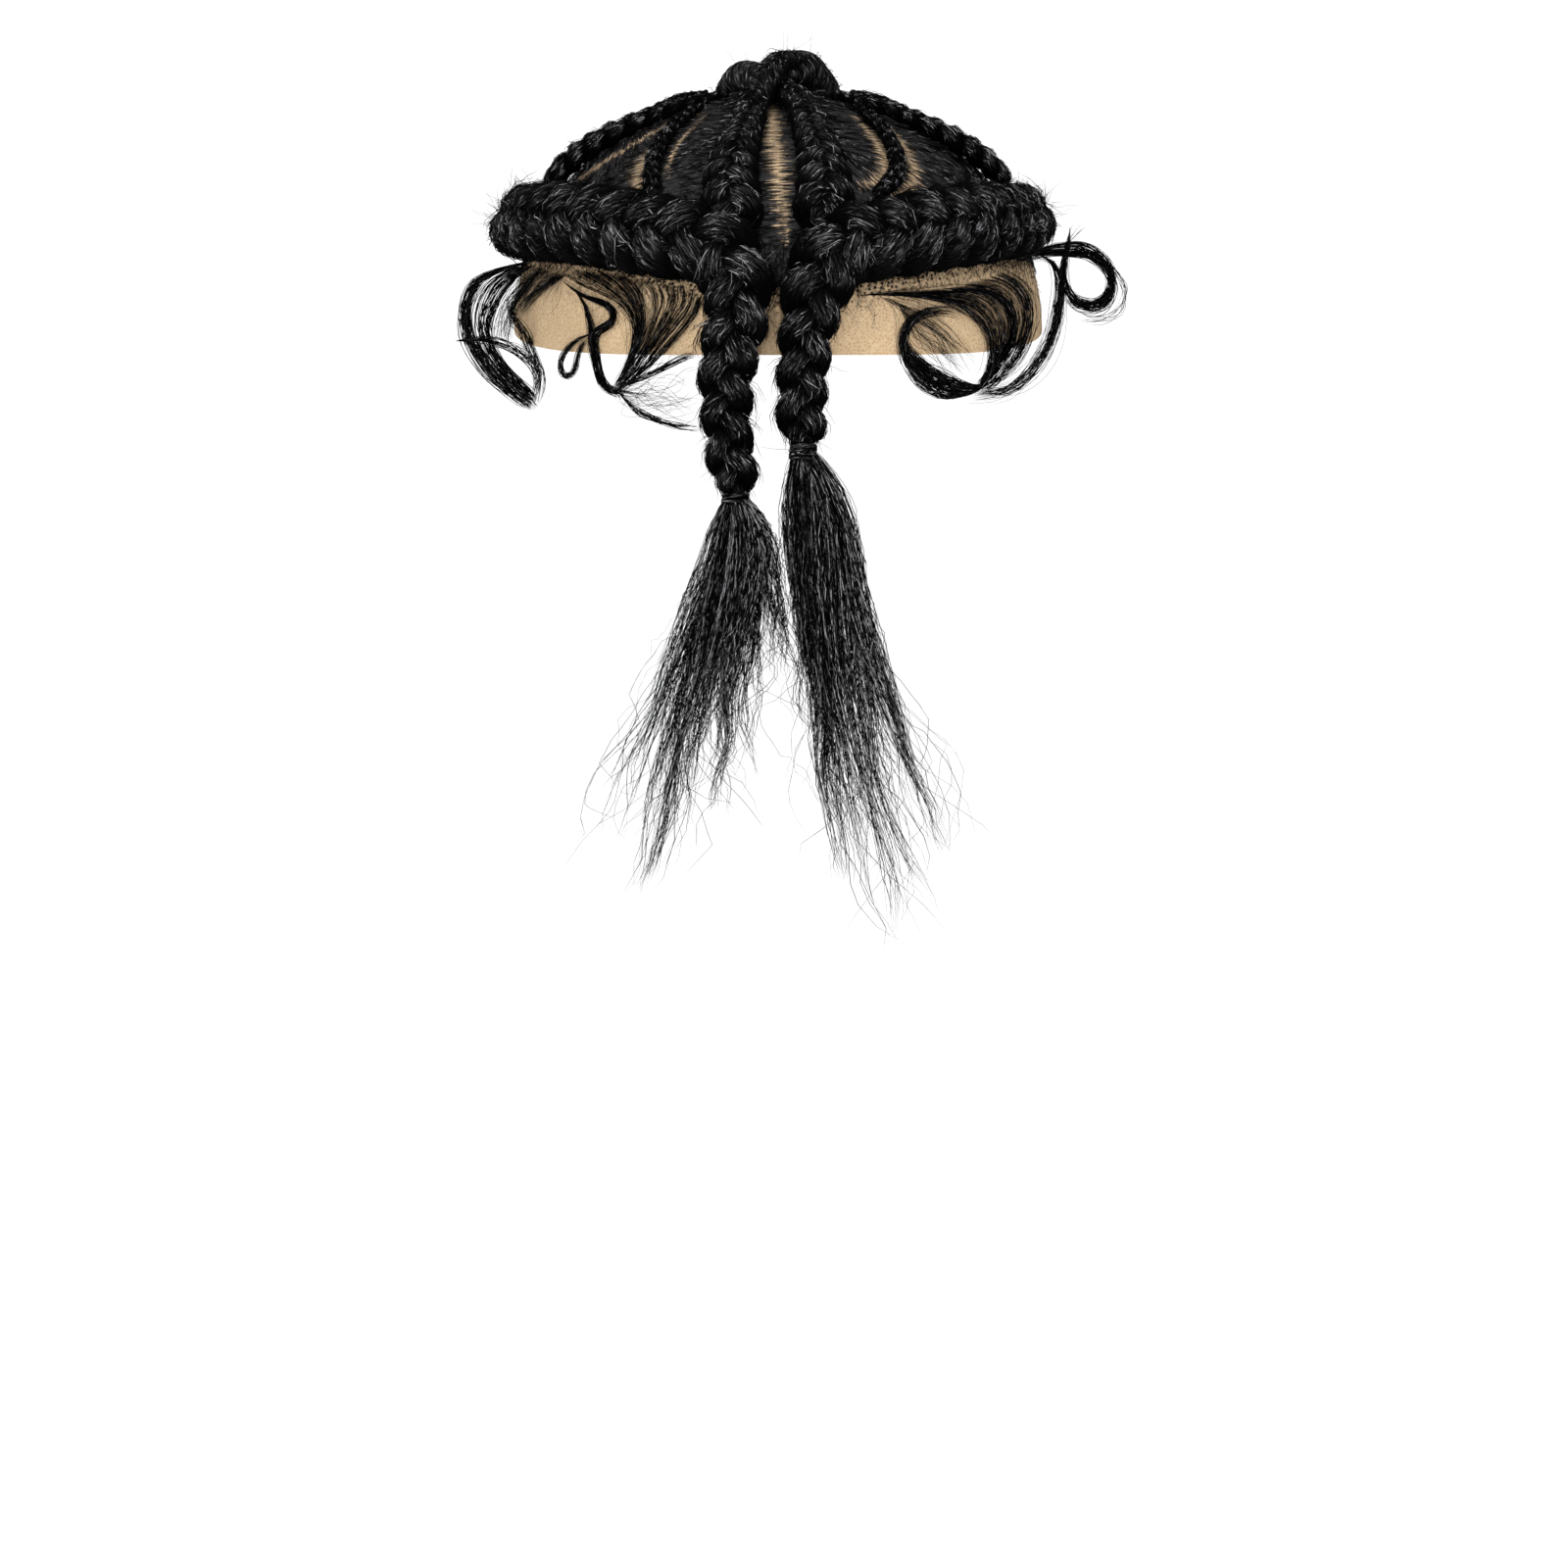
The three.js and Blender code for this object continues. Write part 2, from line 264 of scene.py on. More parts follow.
def smooth(rows, places):
    """A Catmull-Rom curve through rows, read at places counted in rows."""
    rows = np.asarray(rows, float)
    ends = np.vstack([2 * rows[0] - rows[1], rows, 2 * rows[-1] - rows[-2]])
    i = np.clip(places.astype(int), 0, len(rows) - 2)
    f = (places - i)[:, None]
    a, b, c, d = (ends[i + k] for k in range(4))
    bend, twist = 2 * a - 5 * b + 4 * c - d, 3 * b - a - 3 * c + d
    return 0.5 * (2 * b + (c - a) * f + bend * f ** 2 + twist * f ** 3)


def on_head(rows, side, flat):
    """Rows of azimuth, polar, width and extra lift, as rows of x, y, z and width in metres."""
    table = np.array([[*row, 0][:4] for row in rows], float)
    lift = LACE + GAP + (flat * table[:, 2] / 2 + table[:, 3]) * MM
    return np.column_stack([head_point(side * table[:, 0], table[:, 1], lift), table[:, 2] * MM])


print("head half sizes in mm:", (HEAD / MM).tolist())

# %% [markdown]
# ## Strands as meshes
# A hair is a thin tube that closes to a point at both ends. Curves with a bevel would do, but
# thousands of them are slow, so one function lays rings of points round many paths at once and
# joins them in one mesh. The same function makes the thick plies of a plait.

# %% Strand meshes
HAIR_SIDES = 3  # of a single hair, which is too thin to show them
SLANT = (0.36, 0.48, 0.8)  # a direction that hardly any strand starts along
triangles = {}


def strands(name, groups):
    """One object from groups of (paths, radii, sides, tones), where paths is strands by points by 3.

    Tones, the painted sheen and shade, are one to a strand, or one to each of its points."""
    points, corners, starts, maps, sheen_and_shade_tones = [], [], [], [], []
    first_point, first_corner = 0, 0
    for paths, radii, sides, sheen_and_shade in groups:
        many, n, _ = paths.shape
        along = unit(np.gradient(paths, axis=1))
        side = np.empty_like(paths)
        turned = np.cross(along[:, 0], SLANT)
        for j in range(n):
            turned = square_to(turned, along[:, j])
            side[:, j] = turned
        other = np.cross(along, side)
        angle = 2 * np.pi * np.arange(sides) / sides
        ring = np.cos(angle)[:, None] * side[:, :, None] + np.sin(angle)[:, None] * other[:, :, None]
        ring = paths[:, :, None] + radii[:, :, None, None] * ring
        body = ring[:, 1:-1].reshape(many, -1, 3)
        solid = outside_lace(np.concatenate([paths[:, :1], body, paths[:, -1:]], 1))
        count = solid.shape[1]
        points.append(solid.reshape(-1, 3))
        shown = np.broadcast_to(np.reshape(sheen_and_shade, (many, -1)), (many, n))
        ring_tones = np.repeat(shown[:, 1:-1], sides, 1)
        sheen_and_shade_tones.append(np.concatenate([shown[:, :1], ring_tones, shown[:, -1:]], 1).ravel())
        k, after = np.arange(sides), (np.arange(sides) + 1) % sides
        rows = 1 + sides * np.arange(n - 3)[:, None]
        quads = np.stack([rows + k, rows + after, rows + after + sides, rows + k + sides], -1)
        quads = quads.reshape(-1, 4)
        root = np.stack([0 * k, 1 + after, 1 + k], -1)
        tip = np.stack([0 * k + count - 1, count - 1 - sides + k, count - 1 - sides + after], -1)
        one = np.concatenate([quads.ravel(), root.ravel(), tip.ravel()])
        sizes = np.concatenate([np.full(len(quads), 4), np.full(2 * sides, 3)])
        offset = first_point + count * np.arange(many)
        corners.append((one + offset[:, None]).ravel())
        begin = np.concatenate([[0], np.cumsum(sizes)[:-1]])
        starts.append((begin + first_corner + len(one) * np.arange(many)[:, None]).ravel())
        gone = np.cumsum(np.linalg.norm(np.diff(paths, axis=1, prepend=paths[:, :1]), axis=-1), axis=1)
        girth = 2 * np.pi * radii.max(1)
        row = np.repeat(np.arange(n - 3), sides)
        turn = np.tile(k, n - 3)
        u = np.concatenate([np.stack([turn, turn + 1, turn + 1, turn], -1).ravel(),
                            np.stack([k + 0.5, k + 1, k], -1).ravel(),
                            np.stack([k + 0.5, k, k + 1], -1).ravel()])
        v = np.concatenate([np.stack([row + 1, row + 1, row + 2, row + 2], -1).ravel(),
                            np.tile([0, 1, 1], sides), np.tile([n - 1, n - 2, n - 2], sides)])
        shift = chance.uniform(0, 1, (many, 1))  # so that no two strands have the same streaks
        maps.append(np.stack([u / sides * girth[:, None] + shift, gone[:, v]], -1).reshape(-1, 2))
        first_point += many * count
        first_corner += many * len(one)
    points, corners, starts = np.concatenate(points), np.concatenate(corners), np.concatenate(starts)
    mesh = bpy.data.meshes.new(name)
    mesh.vertices.add(len(points))
    mesh.vertices.foreach_set("co", points.ravel())
    mesh.loops.add(len(corners))
    mesh.loops.foreach_set("vertex_index", corners.astype(np.int32))
    mesh.polygons.add(len(starts))
    mesh.polygons.foreach_set("loop_start", starts.astype(np.int32))
    mesh.polygons.foreach_set("use_smooth", np.ones(len(starts), bool))
    mesh.uv_layers.new(name="along_hair").data.foreach_set("uv", np.concatenate(maps).ravel())
    mesh.attributes.new("sheen_and_shade", "FLOAT", "POINT").data.foreach_set("value", np.concatenate(sheen_and_shade_tones))
    mesh.update(calc_edges=True)
    made = bpy.data.objects.new(name, mesh)
    bpy.context.collection.objects.link(made)
    made.data.materials.append(hair)
    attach(made, "root")
    triangles[name] = len(corners) - 2 * len(starts)
    return made


print("triangles to each ring of a hair:", 2 * HAIR_SIDES)

# %% [markdown]
# ## Plaits
# A plait has three plies. Each swings from edge to edge and passes over and under the others, so
# its sideways place is a wave and its height a wave twice as fast. On an underhand plait the
# ply on top runs outwards, which gives the lobes along both edges. Short hairs laid on the plies,
# each a little off their direction and with a free end, give the fuzz of kinky hair.

# %% Plait paths
PLY, SWING, RISE = 0.23, 0.265, 0.1  # ply radius, swing and height, as shares of the width
STEP = 0.6 * MM
SAMPLES = 4000  # places read along a route before it is cut into equal steps
PAINTED_SHADE_UNDER, PAINTED_HIGHLIGHT_GAIN, PAINTED_HIGHLIGHT_LAG = 0.02, 1.3, 0.25  # painted shade on a ply underneath, painted highlight gained on top, and its lag
LOCK_WIDTH, LOCK_LENGTH = 1.1 * MM, 4.5 * MM
LOCK_KEYS = (7919, 613, 101)  # spread neighbouring bins over the table of painted lock sheen
PAINTED_SHEEN_RANGE, DARK = (0.9, 2.3), (0.02, 0.4)  # tones of single hairs: the bright ones a painted sheen, the dark ones the hair's black
FREE_SHARE, WILD_SHARE = 0.7, 0.04  # shares of the hairs with a free end, and with a long one
SKEW = 0.95  # radians that a hair turns round its ply
CRIMP = 0.16 * MM
FLYAWAY = 0.06 * MM  # radius of a stray hair
covered = []  # the centre lines of the plaits, which the root hair leaves out


def plait(rows, lobe):
    """Plies of a plait along rows of x, y, z, width: paths, radii, outward directions and tones."""
    dense = smooth(rows, np.linspace(0, len(rows) - 1, SAMPLES))
    gone = np.concatenate([[0], np.cumsum(np.linalg.norm(np.diff(dense[:, :3], axis=0), axis=1))])
    at = np.arange(0, gone[-1], STEP)
    line = np.stack([np.interp(at, gone, column) for column in dense.T], 1)
    centre, width = line[:, :3], line[:, 3]
    along = unit(np.gradient(centre, axis=0))
    away = square_to(outward(centre), along)
    across = np.cross(along, away)
    phase = np.cumsum(2 * np.pi / 3 * STEP / lobe(width))
    turn = phase + 2 * np.pi / 3 * np.arange(3)[:, None]
    swing = SWING * width * (np.sin(turn) - np.sin(3 * turn) / 9) / 1.1  # nearly straight from edge to edge
    rise = RISE * width * np.sin(2 * turn)
    paths = centre + across * swing[..., None] + away * rise[..., None]
    radii = PLY * width * (0.92 + 0.1 * np.sin(turn) ** 2)
    # Painted highlight on the top of each lobe, and painted shade where the ply passes under the others.
    sheen_and_shade_tones = PAINTED_SHADE_UNDER + PAINTED_HIGHLIGHT_GAIN * np.maximum(0, np.sin(2 * turn - PAINTED_HIGHLIGHT_LAG)) ** 2
    covered.append(line[::4])
    return paths, radii, away, sheen_and_shade_tones


def hair_sheen_tones(size):
    """Tones of single hairs: about half are dark, and the rest carry a painted sheen."""
    painted_sheen = chance.random(size) < 0.5
    return np.where(painted_sheen, chance.uniform(*PAINTED_SHEEN_RANGE, size), chance.uniform(*DARK, size))


# Painted sheen of each bin, so that hairs lying together look lit alike.
LOCK_SHEEN = chance.uniform(0.45, 1.35, 1009)


def lock_sheen(*bins):
    """Painted sheen on hairs, lighter or darker together where they fall in the same bins, as on a lock
    that catches the light.
    """
    key = sum(np.floor(place).astype(int) * step for place, step in zip(bins, LOCK_KEYS))
    return LOCK_SHEEN[key % len(LOCK_SHEEN)] * hair_sheen_tones(key.shape)


def read(table, ply, place):
    """Rows of a table of plies by steps, read between steps."""
    i = np.clip(place.astype(int), 0, table.shape[1] - 2)
    f = (place - i).reshape(place.shape + (1,) * (table.ndim - 2))
    return table[ply, i] * (1 - f) + table[ply, i + 1] * f


def lying_hairs(plies, count, length, fray, thick, around=2.2):
    """Short hairs that follow the plies, most with a free end that lifts off."""
    paths, radii, away, sheen_and_shade_tones = plies
    along = unit(np.gradient(paths, axis=1))
    up = square_to(away, along)
    side = np.cross(along, up)
    tries = 4 * count
    ply = chance.integers(0, 3, tries)
    reach = chance.uniform(0.5, 1.5, tries) * length / STEP
    start = chance.uniform(0, 1, tries) * (paths.shape[1] - 1 - reach)
    angle = chance.uniform(-around, around, tries)
    middle = (start + reach / 2).astype(int)
    skin = paths[ply, middle] + radii[ply, middle][:, None] * (
        np.cos(angle)[:, None] * up[ply, middle] + np.sin(angle)[:, None] * side[ply, middle])
    buried = np.zeros(tries, bool)
    for other in (1, 2):
        beside = (ply + other) % 3
        buried |= np.linalg.norm(skin - paths[beside, middle], axis=1) < 0.97 * radii[beside, middle]
    keep = np.flatnonzero(~buried)[:count]
    ply, reach, start, angle = ply[keep, None], reach[keep, None], start[keep, None], angle[keep, None]
    taper = np.array([0.2, 1, 0.8, 0.2])
    t = np.linspace(0, 1, len(taper))
    place = start + reach * t
    size = (len(keep), 1)
    free = np.where(chance.random(size) < FREE_SHARE, chance.exponential(fray, size), 0)
    free = np.where(chance.random(size) < WILD_SHARE, chance.uniform(3, 6, size) * fray, free)
    lift = chance.uniform(0.05, 0.3, size) * MM * np.sin(np.pi * t) + free * t ** 2 - 0.05 * MM
    bearing = angle + chance.normal(0, SKEW, size) * (t - 0.3)
    distance = (read(radii, ply, place) + lift)[..., None]
    hairs = read(paths, ply, place) + distance * (
        np.cos(bearing)[..., None] * read(up, ply, place)
        + np.sin(bearing)[..., None] * read(side, ply, place))
    hairs += chance.normal(0, CRIMP, hairs.shape)
    # Painted sheen: lock sheen in bins across and along the ply, times the ply's painted highlight and
    # shade.
    beside = np.floor(angle * read(radii, ply, start) / LOCK_WIDTH)
    locks = lock_sheen(ply, beside, (start + reach / 2) * STEP / LOCK_LENGTH + 0.618 * beside)
    thickness = thick * chance.uniform(0.6, 1.25, size) * taper
    return hairs, thickness, HAIR_SIDES, read(sheen_and_shade_tones, ply, place) * locks


def flyaways(plies, count, length):
    """Fine stray hairs that leave a plait and curl away."""
    paths, radii, away, _ = plies
    ply, place = chance.integers(0, 3, count), chance.integers(0, paths.shape[1], count)
    out = unit(away[place] + chance.normal(0, 0.6, (count, 3)))
    root = paths[ply, place] + radii[ply, place][:, None] * out
    bend = unit(chance.normal(0, 1, (count, 3)))
    taper = np.array([0.5, 1, 1, 1, 0.9, 0.7, 0.2])
    t = np.linspace(0, 1, len(taper))[:, None]
    reach = length * chance.uniform(0.3, 1.3, (count, 1, 1))
    hairs = root[:, None] + reach * (0.35 * t * out[:, None] + 0.6 * t ** 1.5 * bend[:, None])
    hairs += chance.normal(0, 0.25 * MM, hairs.shape) * t
    return hairs, FLYAWAY * taper * np.ones((count, 1)), HAIR_SIDES, 0.5 * hair_sheen_tones(count)


def plait_groups(plies, sides, spacing, hairs):
    """The three plies, thinned to rings a spacing apart, and the hairs that lie on them."""
    paths, radii, _, sheen_and_shade_tones = plies
    rings = int(paths.shape[1] * STEP / spacing)
    keep = np.unique(np.linspace(0, paths.shape[1] - 1, rings).astype(int))
    return [(paths[:, keep], radii[:, keep], sides, 0.7 * sheen_and_shade_tones[:, keep]), hairs]


def dress(piece, node):
    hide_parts(node)
    print(piece.name, triangles[piece.name], "triangles")


print("step along a plait in mm:", STEP / MM)

# %% [markdown]
# ## Rim braids and pigtails
# Each rim braid gathers the hair of its side, grows thicker towards the back, and turns down
# into a pigtail at the middle.

# %% Rim braids
RIM = {  # azimuth, polar, width
    "left": [(152, 57, 5), (140, 56, 9.5), (122, 58, 13.5), (104, 61.5, 16.5), (86, 65.5, 20),
             (68, 68.2, 23.5), (52, 70.2, 25.5), (38, 72.2, 26), (23, 75.5, 25.5), (11.8, 78.2, 24)],
    "right": [(152, 57, 5), (140, 55, 9), (122, 56, 11), (104, 59, 13), (86, 63.2, 16), (68, 67, 20.5),
              (52, 70, 24.5), (38, 72.2, 26), (23, 75.5, 25.5), (11.8, 78.2, 24)]}
PIGTAIL = {  # x, y, z, width
    "left": [(11.4, 105, -67, 21.5), (13.2, 105, -80, 19), (15.2, 104.6, -95, 16.8),
             (14.4, 104.2, -110, 15), (12.8, 104, -121, 14.5), (12.3, 104, -125.5, 7.5)],
    "right": [(-11.1, 105, -67, 20.5), (-8.6, 105, -79, 17), (-7.2, 104.6, -91, 15.4),
              (-6.8, 104.2, -101, 15), (-7.2, 104, -107.5, 14.5), (-7.3, 104, -111.5, 7.5)]}
RIM_FLAT = 0.64  # height of a rim braid above the lace, as a share of its width
LONGEST_LOBE = 11.3 * MM
SIDES = {"left": 1, "right": -1}
for name, side in SIDES.items():
    end = (*PIGTAIL[name][-1][:2], PIGTAIL[name][-1][2] - 4, 6)  # runs on into the tie
    rows = np.vstack([on_head(RIM[name], side, RIM_FLAT), np.array([*PIGTAIL[name], end]) * MM])
    plies = plait(rows, lambda width: np.minimum(LONGEST_LOBE, 0.72 * width))
    hairs = lying_hairs(plies, 7800, length=5.5 * MM, fray=0.9 * MM, thick=0.14 * MM, around=2.6)
    strays = flyaways(plies, 400, length=11 * MM)
    groups = plait_groups(plies, sides=10, spacing=1.5 * MM, hairs=hairs)
    piece = strands(f"rim_braid_{name}_hair", [*groups, strays])
    dress(piece, f"rim_braid_{name}")

# %% [markdown]
# ## Crown braids
# They run on each side of the centre part and cross over at the crown, the left one on top.

# %% Crown braids
CROWN = [  # azimuth, polar, width
    (8.6, 73, 17), (9.3, 69, 18.5), (10, 64.8, 18), (10.4, 60, 16.5), (9.9, 50.4, 13.5), (8.9, 41, 11.2)]
CROSSING = [  # azimuth, polar, width, lift of the upper braid
    (8.2, 33.5, 10.8, 1.4), (0, 24.4, 9.8, 7.6), (-20, 14.5, 10.4, 4.6), (-93, 7.6, 11.4, 0),
    (-146, 18.5, 11.6, 0), (-158, 38, 10.5, 0), (-161, 54, 9, 0), (-162, 61, 5, 0)]
CROWN_FLAT = 0.6


def fed_in(rows, count, reach):
    """Hairs taken up from the lace into a plait that stands off it."""
    top = smooth(rows, chance.uniform(0, len(rows) - 1, count))[:, :3]
    root = to_head(top + chance.normal(0, reach, top.shape), np.full(count, LACE))
    taper = np.array([0.4, 1, 1, 0.4])
    t = np.linspace(0, 1, len(taper))[:, None]
    sway = chance.normal(0, 0.4 * MM, (count, len(taper), 3)) * np.sin(np.pi * t)
    hairs = root[:, None] * (1 - t) + top[:, None] * t + sway
    return hairs, 0.3 * MM * taper * np.ones((count, 1)), HAIR_SIDES, 0.6 * hair_sheen_tones(count)


def coil(rows, turns, count, thick):
    """Plies wound round a route, where a plait is twisted into a rope."""
    t = np.linspace(0, 1, 120)
    line = smooth(rows, t * (len(rows) - 1))
    along = unit(np.gradient(line[:, :3], axis=0))
    away = square_to(outward(line[:, :3]), along)
    turn = 2 * np.pi * (turns * t + np.arange(count)[:, None] / count)
    out = 0.4 * line[:, 3] * np.minimum(1, 5 * np.minimum(t, 1 - t) + 0.3)
    paths = (line[:, :3] + (out * np.sin(turn))[..., None] * np.cross(along, away)
             + (out * np.cos(turn))[..., None] * away)
    return paths, np.full((count, len(t)), thick), 6, chance.uniform(0.5, 1.0, count)


def crown_lobe(width):
    """Lobes get shorter towards the crossing, where the plaits are thin and drawn tight."""
    return width * np.interp(width / MM, [11, 16], [0.3, 0.46])


for name, side in SIDES.items():
    crossing = [(*row[:3], row[3] if side > 0 else 0) for row in CROSSING]
    plies = plait(on_head(CROWN + crossing, side, CROWN_FLAT)[::-1], crown_lobe)
    hairs = lying_hairs(plies, 4200, length=5 * MM, fray=0.6 * MM, thick=0.13 * MM, around=2.5)
    feed = fed_in(on_head(crossing, side, CROWN_FLAT)[:4], 300, reach=2.2 * MM)
    lower = [(*row[:3], 0.75 * row[3]) for row in crossing[1:5]]
    rope = coil(on_head(lower, side, CROWN_FLAT), turns=3.4, count=8, thick=1.25 * MM)
    strays = flyaways(plies, 110, length=9 * MM)
    groups = plait_groups(plies, sides=9, spacing=1.0 * MM, hairs=hairs)
    piece = strands(f"crown_braid_{name}_hair", [*groups, rope, feed, strays])
    dress(piece, f"crown_braid_{name}")

# %% [markdown]
# ## Side, temple and crescent braids
# These thinner plaits start at the crown with little hair and take in more on the way down.

# %% Thin braids
SIDE = [  # azimuth, polar, width
    (28, 22.5, 3.4), (42, 30, 6), (52, 36.5, 8), (62, 43, 10), (72, 48.6, 11.4), (80, 53, 11),
    (83, 55.2, 7)]
TEMPLE = [(66, 17, 3.4), (88, 22.5, 5.6), (103, 31, 6.6), (110, 40, 7), (113, 46, 6.6), (114, 49.5, 4)]
CRESCENT = {
    "left": [(34, 29.6, 3), (34.6, 35.5, 4.4), (35.6, 42, 5.2), (34.9, 49.2, 5.6), (33, 55.5, 5.6),
             (30.5, 61, 5.2), (29, 63.4, 3.6)],
    "right": [(35.4, 29.8, 3), (34.6, 35.1, 4.4), (34.3, 42.2, 5.2), (33.3, 49.3, 5.6), (31, 55.6, 5.6),
              (26.7, 60.4, 5.4), (22.6, 63, 3.6)]}
THIN_FLAT, THIN_LOBE = 0.7, 0.75
for name, side in SIDES.items():
    thin = (("side", SIDE, 1500), ("temple", TEMPLE, 850), ("crescent", CRESCENT[name], 850))
    for kind, rows, count in thin:
        plies = plait(on_head(rows, side, THIN_FLAT), lambda width: THIN_LOBE * width)
        hairs = lying_hairs(plies, count, length=5 * MM, fray=0.35 * MM, thick=0.13 * MM)
        groups = plait_groups(plies, sides=8, spacing=0.9 * MM, hairs=hairs)
        piece = strands(f"{kind}_braid_{name}_hair", groups)
        dress(piece, f"{kind}_braid_{name}")

# %% [markdown]
# ## Ties and tails
# A lock of hair wound round the end of each pigtail holds it. Below it the hair is loose and
# crimped: it leaves the tie in a full brush, gathers in clumps and thins to single hairs, because
# their lengths differ. Hairs inside the brush are hardly seen, so they have few points, and the
# outer ones many.

# %% Ties
wound, points, winds = 18, 40, 3
for name in SIDES:
    foot = np.array(PIGTAIL[name][-1][:3]) * MM
    turn = np.linspace(0, 2 * winds * np.pi, points) + chance.uniform(0, 6.3, (wound, 1))
    out = chance.uniform(2.9, 4.0, (wound, 1)) * MM
    low = np.linspace(-1, -5.4, points) * MM + chance.normal(0, 0.4 * MM, (wound, 1))
    low = foot[2] + np.clip(low + 0.6 * MM * np.sin(turn * 0.7), -5.6 * MM, -0.9 * MM)
    paths = np.stack([foot[0] + out * np.sin(turn), foot[1] + out * np.cos(turn), low], -1)
    radii = np.full((wound, points), 0.36 * MM)
    piece = strands(f"tie_{name}_hair", [(paths, radii, 4, 0.5 * hair_sheen_tones(wound))])
    dress(piece, f"tie_{name}")

# %% Tails
TAIL = {  # x of each lock in the body of the brush, then x, y, z of its tip and its width
    "left": [(18, 47, 106, -222, 10), (16, 41, 99, -236, 10), (13.5, 34, 110, -232, 11),
             (11, 27, 99, -226, 11), (8.5, 19, 109, -216, 10), (6, 9, 101, -206, 9),
             (3.6, -2, 105, -192, 7)],
    "right": [(-18.5, -45, 106, -224, 10), (-16.5, -40, 100, -240, 10), (-14, -34, 110, -250, 11),
              (-11.5, -28, 99, -244, 11), (-9, -22, 109, -232, 10), (-6.6, -15, 101, -216, 9),
              (-4.4, -9, 105, -196, 8)]}
SPLAY = {"left": 1.0, "right": 1.5}  # how late the brush opens: 1 is at once
DENSE = {"left": 0.6, "right": 0.64}  # mean length of a hair, as a share of its lock
CLUMPS = 46
WAVES = 6  # a slow and a quick wave on each of three axes
PACE = (0.7, 1.8)  # range of how fast the waves follow one another


def disc(count):
    """Random places on a disc of radius 1."""
    bearing, far = chance.uniform(0, 2 * np.pi, count), np.sqrt(chance.random(count))
    return np.stack([far * np.cos(bearing), far * np.sin(bearing)], -1)


def tail_clumps(name):
    """Clumps that a brush gathers in: lock, place in it, length, and pace and phase of waves."""
    lock, place = chance.integers(0, len(TAIL[name]), CLUMPS), disc(CLUMPS)
    length = chance.normal(DENSE[name], 0.18, CLUMPS)
    pace = chance.uniform(*PACE, (CLUMPS, WAVES))
    return lock, place, length, pace, chance.uniform(0, 6.3, (CLUMPS, WAVES))


def tail_hairs(name, clumps, count, points, thick, crimp, strays, longer):
    """Crimped hairs that leave the tie, follow the locks of a brush and gather in its clumps."""
    foot = np.array(PIGTAIL[name][-1][:3]) * MM
    mine = chance.integers(0, CLUMPS, count)
    lock, centre, length, pace, phase = (row[mine] for row in clumps)
    body, x, y, z, width = (np.array(TAIL[name]) * MM)[lock].T[..., None]
    length = np.clip(length + longer + chance.normal(0, 0.13, count), 0.3, 1.06)
    t = np.linspace(0, 1, points) * length[:, None]
    spread = np.clip(t / 0.26, 0, 1)
    spread = spread * (2 - spread)
    beyond = np.clip((t - 0.18) / 0.82, 0, 2) ** SPLAY[name]
    gather = 0.75 * np.clip((t - 0.3) / 0.45, 0, 1)[..., None]
    out = (1 - gather) * disc(count)[:, None] + gather * centre[:, None]
    out *= (3 * MM * (1 - spread) + width * 0.55 * spread)[..., None]
    top = foot[2] - 1.5 * MM
    hairs = np.stack([
        foot[0] + (body - foot[0]) * spread + (x - body) * beyond + out[..., 0],
        foot[1] + (y - foot[1]) * np.sqrt(t) + out[..., 1],
        top + (z - top) * t], -1)
    loose = chance.random(count) < strays
    pace = np.where(loose[:, None], chance.uniform(*PACE, pace.shape), pace)
    own_phase = chance.uniform(0, 6.3, phase.shape)
    phase = np.where(loose[:, None], own_phase, phase + chance.normal(0, 0.3, phase.shape))
    drift = np.where(loose, 8, 2.2)[:, None] * MM * (0.1 + 1.3 * t ** 2) * spread
    for axis, share in enumerate((1, 0.6, 0.4)):
        for wave in (1, 2):
            column = 3 * wave - 3 + axis
            turn = 6 * wave * pace[:, column, None] * t + phase[:, column, None]
            hairs[..., axis] += share * drift / wave * np.sin(turn)
    hairs += chance.normal(0, crimp, hairs.shape) * spread[..., None]
    taper = np.concatenate([[0.3], np.ones(points - 4), [0.85, 0.6, 0.2]])
    return hairs, thick * chance.uniform(0.6, 1.2, (count, 1)) * taper, HAIR_SIDES, 1.1 * hair_sheen_tones(count)


BRUSH = [  # hairs, points, thickness and crimp in metres, share of strays, extra length as a share
    (560, 9, 0.13 * MM, 0.2 * MM, 0, 0),
    (390, 24, 0.115 * MM, 0.45 * MM, 0.15, 0.12),
    (70, 26, 0.08 * MM, 0.6 * MM, 0.6, 0.32)]
for name in SIDES:
    clumps = tail_clumps(name)
    piece = strands(f"tail_{name}_hair", [tail_hairs(name, clumps, *row) for row in BRUSH])
    dress(piece, f"tail_{name}")

# %% [markdown]
# ## Lace base
# The base is a fine tan net that stretches over the head, and its edge runs low at the back. A
# sphere cut in half has the right rings and spokes, so each of its points moves to its place on
# the head form. Hair is knotted in everywhere but along the parts. So each point also stores how
# far along and across the nearest part it is, and the material draws ticks of hair across the parts.

